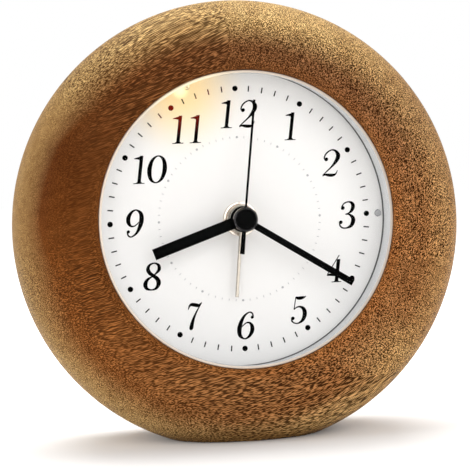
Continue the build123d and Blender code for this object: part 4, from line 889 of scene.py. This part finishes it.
def turn_profile(built, rings, closed=True, steps=ROUND_STEPS):
    """Adds a turned solid. Each ring is (depth, radius) or (depth, radius, height of its axis)."""
    loops = []
    for ring in rings:
        depth, radius, height = (*ring, DIAL_AXIS)[:3]
        count = steps if radius else 1
        turns = [2 * math.pi * i / steps for i in range(count)]
        loops.append(
            [
                built.verts.new((radius * math.sin(turn), depth, height + radius * math.cos(turn)))
                for turn in turns
            ]
        )
    pairs = list(zip(loops, loops[1:])) + ([(loops[-1], loops[0])] if closed else [])
    for first, second in pairs:
        for i in range(steps):
            j = (i + 1) % steps
            if len(first) == 1:
                built.faces.new((first[0], second[i], second[j]))
            elif len(second) == 1:
                built.faces.new((first[i], second[0], first[j]))
            else:
                built.faces.new((first[i], second[i], second[j], first[j]))


def wooden_case(material):
    """The case ring: the outside turns about the case's own axis, the bores about the dial's."""
    lip_back = OPENING_EDGE + LIP_LAND
    lip = quarter(
        (OPENING_EDGE, LIP_RADIUS), LIP_DEPTH, OPENING_RADIUS - LIP_RADIUS, 90, 180, LIP_STEPS
    )
    rings = [(lip_back, SEAT_RADIUS), (lip_back, OPENING_RADIUS), *lip]
    bulge = CASE_RADIUS - FRONT_CREST_RADIUS
    front = quarter((0, FRONT_CREST_RADIUS), CASE_LOW.y, bulge, 0, 90, CREST_STEPS)
    bulge = CASE_RADIUS - BACK_CREST_RADIUS
    back = quarter((0, BACK_CREST_RADIUS), CASE_HIGH.y, bulge, 90, 0, CREST_STEPS)
    rings += [(depth, radius, CASE_AXIS) for depth, radius in front + back[1:]]
    rings += [
        (CASE_HIGH.y, RECESS_RADIUS, CASE_AXIS),
        (COVER_FRONT, RECESS_RADIUS, CASE_AXIS),
        (COVER_FRONT, CHAMBER_RADIUS),
        (DIAL_BACK, CHAMBER_RADIUS),
        (DIAL_BACK, SEAT_RADIUS),
    ]
    built = bmesh.new()
    turn_profile(built, rings)
    cut = bmesh.ops.bisect_plane(
        built,
        geom=built.verts[:] + built.edges[:] + built.faces[:],
        plane_co=(0, 0, 0),
        plane_no=(0, 0, 1),
        clear_inner=True,
    )
    outline = [item for item in cut["geom_cut"] if isinstance(item, bmesh.types.BMEdge)]
    bmesh.ops.edgeloop_fill(built, edges=outline)
    foot = [
        edge
        for edge in built.edges
        if all(abs(corner.co.z) < MERGE_DISTANCE for corner in edge.verts)
    ]
    bmesh.ops.bevel(built, geom=foot, offset=FOOT_EDGE, segments=FOOT_STEPS, affect="EDGES")
    make_piece("case_ring", built, material, "case", "wood", "wooden_case")


def bezel_cup(material):
    """Thin rim round the lens, and the wall that flares down to a dark gap at the dial."""
    inside = LENS_RADIUS + FIT
    shoulder = OPENING_EDGE + LIP_LAND + FIT
    flange = SEAT_RADIUS - FIT
    edge = RIM_EDGE
    inner_round = quarter((RIM_FRONT + edge, inside + edge), -edge, -edge, 90, 0, RIM_STEPS)
    outer_round = quarter((RIM_FRONT + edge, CUP_RADIUS - edge), -edge, edge, 0, 90, RIM_STEPS)
    rings = [
        (LENS_HIGH.y, inside),
        *inner_round,
        *outer_round,
        (shoulder, CUP_RADIUS),
        (shoulder, flange),
        (DIAL_FRONT, flange),
        (DIAL_FRONT, CUP_BASE_RADIUS + SHADOW_GAP_DEPTH),
        (DIAL_FRONT - SHADOW_GAP, CUP_BASE_RADIUS + SHADOW_GAP_DEPTH),
        (DIAL_FRONT - SHADOW_GAP, CUP_BASE_RADIUS),
        (LENS_HIGH.y, CUP_MOUTH_RADIUS),
    ]
    built = bmesh.new()
    turn_profile(built, rings)
    make_piece("grey_cup", built, material, "case", "cup", "bezel_cup")


def lens(material):
    rings = [
        (LENS_LOW.y, 0),
        (LENS_LOW.y, LENS_RADIUS - LENS_EDGE),
        (LENS_LOW.y + LENS_EDGE, LENS_RADIUS),
        (LENS_HIGH.y, LENS_RADIUS),
        (LENS_HIGH.y, 0),
    ]
    built = bmesh.new()
    turn_profile(built, rings, closed=False)
    make_piece("front_lens", built, material, "case", "lens", "lens")


def between(a, b, c, d, t):
    """Value at t, from 0 to 1, on the cubic between b and c."""
    bend = (2 * a - 5 * b + 4 * c - d) * t**2
    return 0.5 * (2 * b + (c - a) * t + bend + (3 * b - a - 3 * c + d) * t**3)


def curve_through(points, steps=8):
    """A smooth line through points with any number of parts, by cubic spans."""
    if points[0] == points[-1]:
        before, after = points[-2], points[1]
    else:
        before = tuple(2 * a - b for a, b in zip(points[0], points[1]))
        after = tuple(2 * a - b for a, b in zip(points[-1], points[-2]))
    ends = [before, *points, after]
    line = []
    for spans in zip(ends, ends[1:], ends[2:], ends[3:]):
        for t in (i / steps for i in range(steps)):
            line.append(tuple(between(*parts, t) for parts in zip(*spans)))
    return [*line, tuple(points[-1])]


def brush(*points):
    """A stroke along a smooth line through (x, y, width) points, as a strip of triangles."""
    line = curve_through(points)
    sides = []
    for i, (x, y, width) in enumerate(line):
        before, after = line[max(i - 1, 0)], line[min(i + 1, len(line) - 1)]
        dx, dy = after[0] - before[0], after[1] - before[1]
        half = width * NUMERAL_WEIGHT / 2 / math.hypot(dx, dy)
        sides.append(((x - dy * half, y + dx * half), (x + dy * half, y - dx * half)))
    strip = []
    for (a, b), (c, d) in zip(sides, sides[1:]):
        strip += [[a, b, d], [a, d, c]]
    return strip


def ball(x, y, radius):
    return [circle(radius, (x, y), BALL_STEPS)]


def serif(x, reach):
    """Foot of an upright stroke: a thin slab, with a small wedge on each side of the stroke."""
    return [
        bar(x - reach, 0.015, x + reach, 0.015, 0.03),
        [(x - reach * 0.6, 0.028), (x + reach * 0.6, 0.028), (x, 0.12)],
    ]


def six():
    return [
        *brush(
            (0.20, 0.80, 0.03), (0.205, 0.86, 0.045), (0.14, 0.955, 0.045), (0.03, 0.965, 0.045),
            (-0.12, 0.84, 0.08), (-0.215, 0.62, 0.125), (-0.25, 0.38, 0.145), (-0.20, 0.15, 0.11),
            (-0.03, 0.02, 0.045), (0.13, 0.09, 0.085), (0.225, 0.27, 0.13), (0.215, 0.44, 0.12),
            (0.13, 0.575, 0.07), (0.01, 0.60, 0.045), (-0.10, 0.53, 0.035), (-0.19, 0.43, 0.03),
        ),
        *ball(0.185, 0.79, 0.06),
    ]


def nine():
    return [[(-x, 1 - y) for x, y in outline] for outline in six()]


def zero():
    return brush(
        (0.0, 0.975, 0.04), (0.2, 0.83, 0.10), (0.275, 0.5, 0.14), (0.2, 0.16, 0.10),
        (0.0, 0.02, 0.04), (-0.2, 0.16, 0.10), (-0.275, 0.5, 0.14), (-0.2, 0.83, 0.10),
        (0.0, 0.975, 0.04),
    )


def one():
    flag = [
        (-0.26, 0.915), (-0.12, 0.955), (0.055, 1.0), (0.055, 0.80), (-0.055, 0.85), (-0.15, 0.88),
        (-0.25, 0.885),
    ]
    return [flag, bar(0.0, 0.0, 0.0, 1.0, 0.125), *serif(0.0, 0.20)]


def two():
    return [
        *brush(
            (-0.235, 0.61, 0.03), (-0.27, 0.70, 0.045), (-0.20, 0.86, 0.05), (-0.03, 0.965, 0.045),
            (0.12, 0.93, 0.07), (0.225, 0.80, 0.125), (0.235, 0.68, 0.14), (0.17, 0.53, 0.11),
            (0.04, 0.36, 0.06), (-0.12, 0.20, 0.04), (-0.26, 0.06, 0.035),
        ),
        *ball(-0.19, 0.63, 0.07),
        *brush(
            (-0.27, 0.03, 0.03), (-0.17, 0.075, 0.06), (-0.05, 0.055, 0.095), (0.08, 0.045, 0.10),
            (0.17, 0.06, 0.075), (0.235, 0.12, 0.04), (0.27, 0.22, 0.02),
        ),
    ]


def three():
    return [
        *brush(
            (-0.235, 0.79, 0.04), (-0.16, 0.92, 0.045), (0.0, 0.975, 0.045), (0.13, 0.925, 0.09),
            (0.19, 0.80, 0.125), (0.15, 0.65, 0.10), (0.05, 0.56, 0.05), (-0.07, 0.525, 0.035),
        ),
        *ball(-0.19, 0.755, 0.07),
        *brush(
            (-0.06, 0.525, 0.035), (0.08, 0.51, 0.055), (0.215, 0.40, 0.11), (0.25, 0.26, 0.14),
            (0.19, 0.10, 0.11), (0.03, 0.025, 0.05), (-0.13, 0.035, 0.045), (-0.235, 0.13, 0.045),
            (-0.245, 0.22, 0.03),
        ),
        *ball(-0.215, 0.235, 0.07),
    ]


def four():
    return [
        bar(0.10, 0.985, -0.27, 0.31, 0.035),
        *brush(
            (-0.29, 0.27, 0.05), (-0.2, 0.285, 0.07), (0.0, 0.27, 0.08), (0.2, 0.27, 0.05),
            (0.27, 0.33, 0.03),
        ),
        bar(0.09, 0.0, 0.09, 0.84, 0.135),
        *serif(0.09, 0.18),
    ]


def five():
    return [
        *brush(
            (-0.17, 0.965, 0.06), (-0.05, 0.93, 0.105), (0.08, 0.94, 0.10), (0.17, 0.965, 0.05),
            (0.215, 1.0, 0.02),
        ),
        bar(-0.165, 0.97, -0.185, 0.52, 0.035),
        *brush(
            (-0.19, 0.52, 0.03), (-0.10, 0.595, 0.04), (0.03, 0.615, 0.06), (0.17, 0.53, 0.11),
            (0.235, 0.34, 0.14), (0.18, 0.13, 0.11), (0.03, 0.02, 0.05), (-0.12, 0.03, 0.04),
            (-0.225, 0.11, 0.045), (-0.23, 0.18, 0.03),
        ),
        *ball(-0.20, 0.20, 0.07),
    ]


def seven():
    return [
        *brush(
            (-0.24, 0.74, 0.02), (-0.205, 0.87, 0.06), (-0.13, 0.925, 0.10), (0.02, 0.90, 0.115),
            (0.13, 0.885, 0.09), (0.235, 0.985, 0.02),
        ),
        *brush(
            (0.23, 0.98, 0.03), (0.10, 0.72, 0.045), (0.0, 0.45, 0.08), (-0.05, 0.2, 0.12),
            (-0.06, 0.06, 0.13),
        ),
        *ball(-0.06, 0.065, 0.065),
    ]


def eight():
    return brush(
        (0.0, 0.975, 0.045), (-0.16, 0.91, 0.08), (-0.205, 0.76, 0.115), (-0.12, 0.62, 0.11),
        (0.02, 0.52, 0.10), (0.17, 0.40, 0.125), (0.235, 0.24, 0.14), (0.16, 0.07, 0.09),
        (0.0, 0.02, 0.045), (-0.17, 0.07, 0.09), (-0.245, 0.22, 0.135), (-0.19, 0.38, 0.10),
        (-0.04, 0.49, 0.05), (0.10, 0.60, 0.06), (0.20, 0.74, 0.11), (0.16, 0.90, 0.085),
        (0.0, 0.975, 0.045),
    )


# Each digit is one unit tall. A pair stands as far apart as its two half advances say.
DIGITS = [zero, one, two, three, four, five, six, seven, eight, nine]
HALF_ADVANCE = {"0": 0.29, "1": 0.317, "2": 0.426}


def printed(name, outlines, material):
    """Ink that stands a little above the dial."""
    built = bmesh.new()
    prism(built, outlines, [], [(DIAL_FRONT, 0.0), (DIAL_FRONT - PRINT_RISE, 0.0)])
    make_piece(name, built, material, "case", "black_metal")


def numeral(hour, material):
    """One hour's numeral, upright and slightly slanted, with its ink centred on its place."""
    digits = str(hour)
    apart = sum(HALF_ADVANCE[digit] for digit in digits) if len(digits) == 2 else 0.0
    outlines = []
    for digit, middle in zip(digits, (-apart / 2, apart / 2)):
        outlines += [
            [(middle + x + NUMERAL_SLANT * (y - 0.5), y) for x, y in outline]
            for outline in DIGITS[int(digit)]()
        ]
    reach = [x for outline in outlines for x, _ in outline]
    rise = [y for outline in outlines for _, y in outline]
    centre = ((min(reach) + max(reach)) / 2, (min(rise) + max(rise)) / 2)
    right, up = NUMERAL_PLACES[hour]
    placed = [
        [
            (right + (x - centre[0]) * NUMERAL_HEIGHT, up + (y - centre[1]) * NUMERAL_HEIGHT)
            for x, y in outline
        ]
        for outline in outlines
    ]
    printed(f"numeral_{hour}", placed, material)


def track(name, material, radius, marks, dot_every, dot, tick, width):
    """Marks round the dial: dots at some of them, and short radial ticks at the others."""
    outlines = []
    for mark in range(marks):
        angle = 360 / marks * mark
        if mark % dot_every == 0:
            outlines.append(circle(dot, clock_place(radius, angle), DOT_STEPS))
        else:
            upright = bar(0, radius - tick / 2, 0, radius + tick / 2, width)
            outlines.append(clockwise(upright, angle))
    printed(name, outlines, material)


def hand(kind, slot, material, extra=()):
    """A flat stamped hand with a round hub, at the depth of its solid."""
    node = f"{kind}_hand"
    sizes = HANDS[kind]
    blade = bar(0, 0, 0, sizes["length"], sizes["width"])
    shapes = [clockwise(outline, sizes["angle"]) for outline in (blade, *extra)]
    shapes.append(circle(sizes["hub"]))
    bore = circle(sizes["bore"], steps=BORE_STEPS)
    built = bmesh.new()
    plate(built, shapes, [bore], front_of(node), back_of(node), HAND_EDGE)
    make_piece(f"{kind}_pointer", built, material, f"{kind}_arbor", slot, node)


def softbox(name, place, size, watts):
    """A soft rectangular light that looks at the clock. Place and size in metres."""
    light = bpy.data.lights.new(name, "AREA")
    light.shape = "RECTANGLE"
    light.size, light.size_y = size
    light.energy = watts
    lamp = add_object(name, light)
    lamp.location = place
    lamp.rotation_euler = (LIGHT_TARGET - Vector(place)).to_track_quat("-Z", "Y").to_euler()


def seen_by(tree, *rays):
    """One for rays of the given kinds, and zero for all others."""
    path = add_node(tree, "ShaderNodeLightPath").outputs
    seen = path[rays[0]]
    for ray in rays[1:]:
        seen = larger(tree, seen, path[ray])
    return seen


def studio():
    """White surroundings, soft lights above and in front, and weaker ones at the sides."""
    scene = bpy.context.scene
    scene.view_settings.view_transform = "Standard"
    world = bpy.data.worlds.new("studio")
    scene.world = world
    world.use_nodes = True
    tree = world.node_tree
    seen = seen_by(tree, "Is Camera Ray", "Is Glossy Ray", "Is Transmission Ray")
    background = tree.nodes["Background"]
    feed(background, "Color", (1, 1, 1))
    feed(background, "Strength", stretch(tree, seen, 0.0, 1.0, SURROUND_LIGHT, 1.0))
    for light in SOFTBOXES:
        softbox(*light)


def floor():
    """Pale floor that fades into the white surroundings and keeps the clock's shadow."""
    material, tree, shader = material_nodes("pale_floor", gloss=0.0)
    feed(shader, "Base Color", FLOOR_COLOUR)
    feed(shader, "Roughness", FLOOR_ROUGHNESS)
    feed(shader, "Emission Color", (1, 1, 1))
    place = parts_of(tree, object_place(tree))
    away = distance(tree, place["X"], place["Y"])
    whiteness = stretch(tree, away, *FLOOR_GLOW, smooth=True)
    seen = seen_by(tree, "Is Camera Ray", "Is Glossy Ray")
    feed(shader, "Emission Strength", times(tree, seen, whiteness))
    mesh = bpy.data.meshes.new("floor")
    corners = [(-1, -1), (1, -1), (1, 1), (-1, 1)]
    spread = [(x * FLOOR_REACH, y * FLOOR_REACH, 0) for x, y in corners]
    mesh.from_pydata(spread, [], [(0, 1, 2, 3)])
    mesh.materials.append(material)
    ground = add_object("floor", mesh)


def camera():
    data = bpy.data.cameras.new("photo_camera")
    data.sensor_width = SENSOR_WIDTH
    data.lens = FOCAL_PIXELS / PHOTO_PIXELS * SENSOR_WIDTH
    data.clip_start = NEAREST_SEEN
    axes = (
        Matrix.Rotation(math.radians(CAMERA_AZIMUTH), 3, "Z")
        @ Matrix.Rotation(math.radians(CAMERA_TILT), 3, "X")
        @ Matrix.Rotation(math.radians(CAMERA_ROLL), 3, "Y")
    )
    right, forward, up = axes.col[0], axes.col[1], axes.col[2]
    turn = Matrix((right, up, -forward)).transposed()
    shooter = add_object("photo_camera", data)
    shooter.matrix_world = Matrix.Translation(CAMERA_PLACE) @ turn.to_4x4()
    bpy.context.scene.camera = shooter


def hand_cap(material):
    """Bevelled cap that covers the hubs of the hands."""
    front, back = front_of("hand_cap"), back_of("hand_cap")
    rings = [
        (front, 0),
        (front, CAP_FLAT_RADIUS - CAP_FLAT_EDGE),
        (front + CAP_BEVEL_FROM, CAP_FLAT_RADIUS),
        (front + CAP_BEVEL_TO, CAP_RADIUS - CAP_EDGE),
        (front + CAP_BEVEL_TO + CAP_EDGE, CAP_RADIUS),
        (back - CAP_BACK_EDGE, CAP_RADIUS),
        (back, CAP_RADIUS - CAP_BACK_EDGE),
        (back, 0),
    ]
    built = bmesh.new()
    turn_profile(built, rings, closed=False, steps=SMALL_ROUND_STEPS)
    make_piece("cap", built, material, "second_arbor", "black_metal", "hand_cap")


def bushing_nut(material):
    """Round nut with bevelled edges."""
    front, back = front_of("bushing_nut"), back_of("bushing_nut")
    rings = [
        (back, NUT_BORE),
        (front + NUT_BORE_EDGE, NUT_BORE),
        (front, NUT_BORE + NUT_BORE_EDGE),
        (front, NUT_RADIUS - NUT_EDGE),
        (front + NUT_EDGE_MIDDLE, NUT_RADIUS - NUT_EDGE_MIDDLE),
        (front + NUT_EDGE, NUT_RADIUS),
        (back, NUT_RADIUS),
    ]
    built = bmesh.new()
    turn_profile(built, rings, steps=SMALL_ROUND_STEPS)
    make_piece("nut", built, material, "case", "brass", "bushing_nut")


def cross_head_screw(built, right, up):
    """Adds one screw, in millimetres from the dial axis: bevelled head, recess and shank."""
    top, tip = back_of("cover_screws"), front_of("cover_screws")
    recess = top - SCREW_CROSS_DEPTH * MM
    underside = top - SCREW_HEAD_DEPTH * MM
    below_edge = top - SCREW_HEAD_EDGE * MM
    above_point = tip + SCREW_POINT * MM
    head = circle(SCREW_HEAD_RADIUS, (right, up), steps=BORE_STEPS)
    shank = circle(SCREW_RADIUS, (right, up), steps=SCREW_STEPS)
    half = SCREW_CROSS / 2
    cross = [
        bar(right - half, up, right + half, up, SCREW_CROSS_WIDTH),
        bar(right, up - half, right, up + half, SCREW_CROSS_WIDTH),
    ]
    levels = [(top, SCREW_HEAD_EDGE), (below_edge, 0), (recess, 0)]
    prism(built, [head], cross, levels, (True, False))
    prism(built, cross, (), [(recess, 0)], (True, False))
    prism(built, [head], (), [(recess, 0), (underside, 0)], (False, False))
    prism(built, [head], [shank], [(underside, 0)], (True, False))
    levels = [(underside, 0), (above_point, 0), (tip, SCREW_POINT)]
    prism(built, [shank], (), levels, (False, True))


def cover_screws(material):
    built = bmesh.new()
    for direction in SCREW_DIRECTIONS:
        turn = math.radians(direction)
        up = SCREW_REACH * math.sin(turn) - (DIAL_AXIS - CASE_AXIS) / MM
        cross_head_screw(built, SCREW_REACH * math.cos(turn), up)
    make_piece("screws", built, material, "case", "steel", "cover_screws")


def paint(material, *nodes):
    """Gives CAD nodes their finish."""
    for node in nodes:
        piece = frame["nodes"][node]
        piece.data.materials.clear()
        piece.data.materials.append(material)


camera()
studio()
floor()

finishes = {name: plastic_material(name, *values) for name, values in PLASTICS.items()}
finishes |= {name: metal_material(name, *values) for name, values in METALS.items()}
# Inks with painted night-light light near the lamp
ink = ink_material("black_ink", BLACK, INK_PAINTED_LAMP_RED)
pale_ink = ink_material("grey_ink", GREY_INK, GREY_INK_PAINTED_LAMP_LIGHT)

wooden_case(wood_material())
bezel_cup(cup_material())
lens(lens_material())
for hour in NUMERAL_PLACES:
    numeral(hour, ink)
track("minute_track", ink, **MINUTE_TRACK)
track("alarm_track", pale_ink, **ALARM_TRACK)
tail = bar(0, 0, 0, -SECOND_TAIL, SECOND_TAIL_ROOT, SECOND_TAIL_WIDTH)
hand("hour", "black_metal", finishes["hand_black"])
hand("minute", "black_metal", finishes["hand_black"])
hand("second", "black_metal", finishes["hand_black"], [tail])
hand("alarm", "alarm_metal", finishes["champagne_metal"])
hand_cap(cap_material())
bushing_nut(finishes["polished_brass"])
cover_screws(finishes["steel"])

paint(dial_material(), "dial")
paint(lamp_material(), "lamp_led")
for name, nodes in PAINTED.items():
    paint(finishes[name], *nodes)
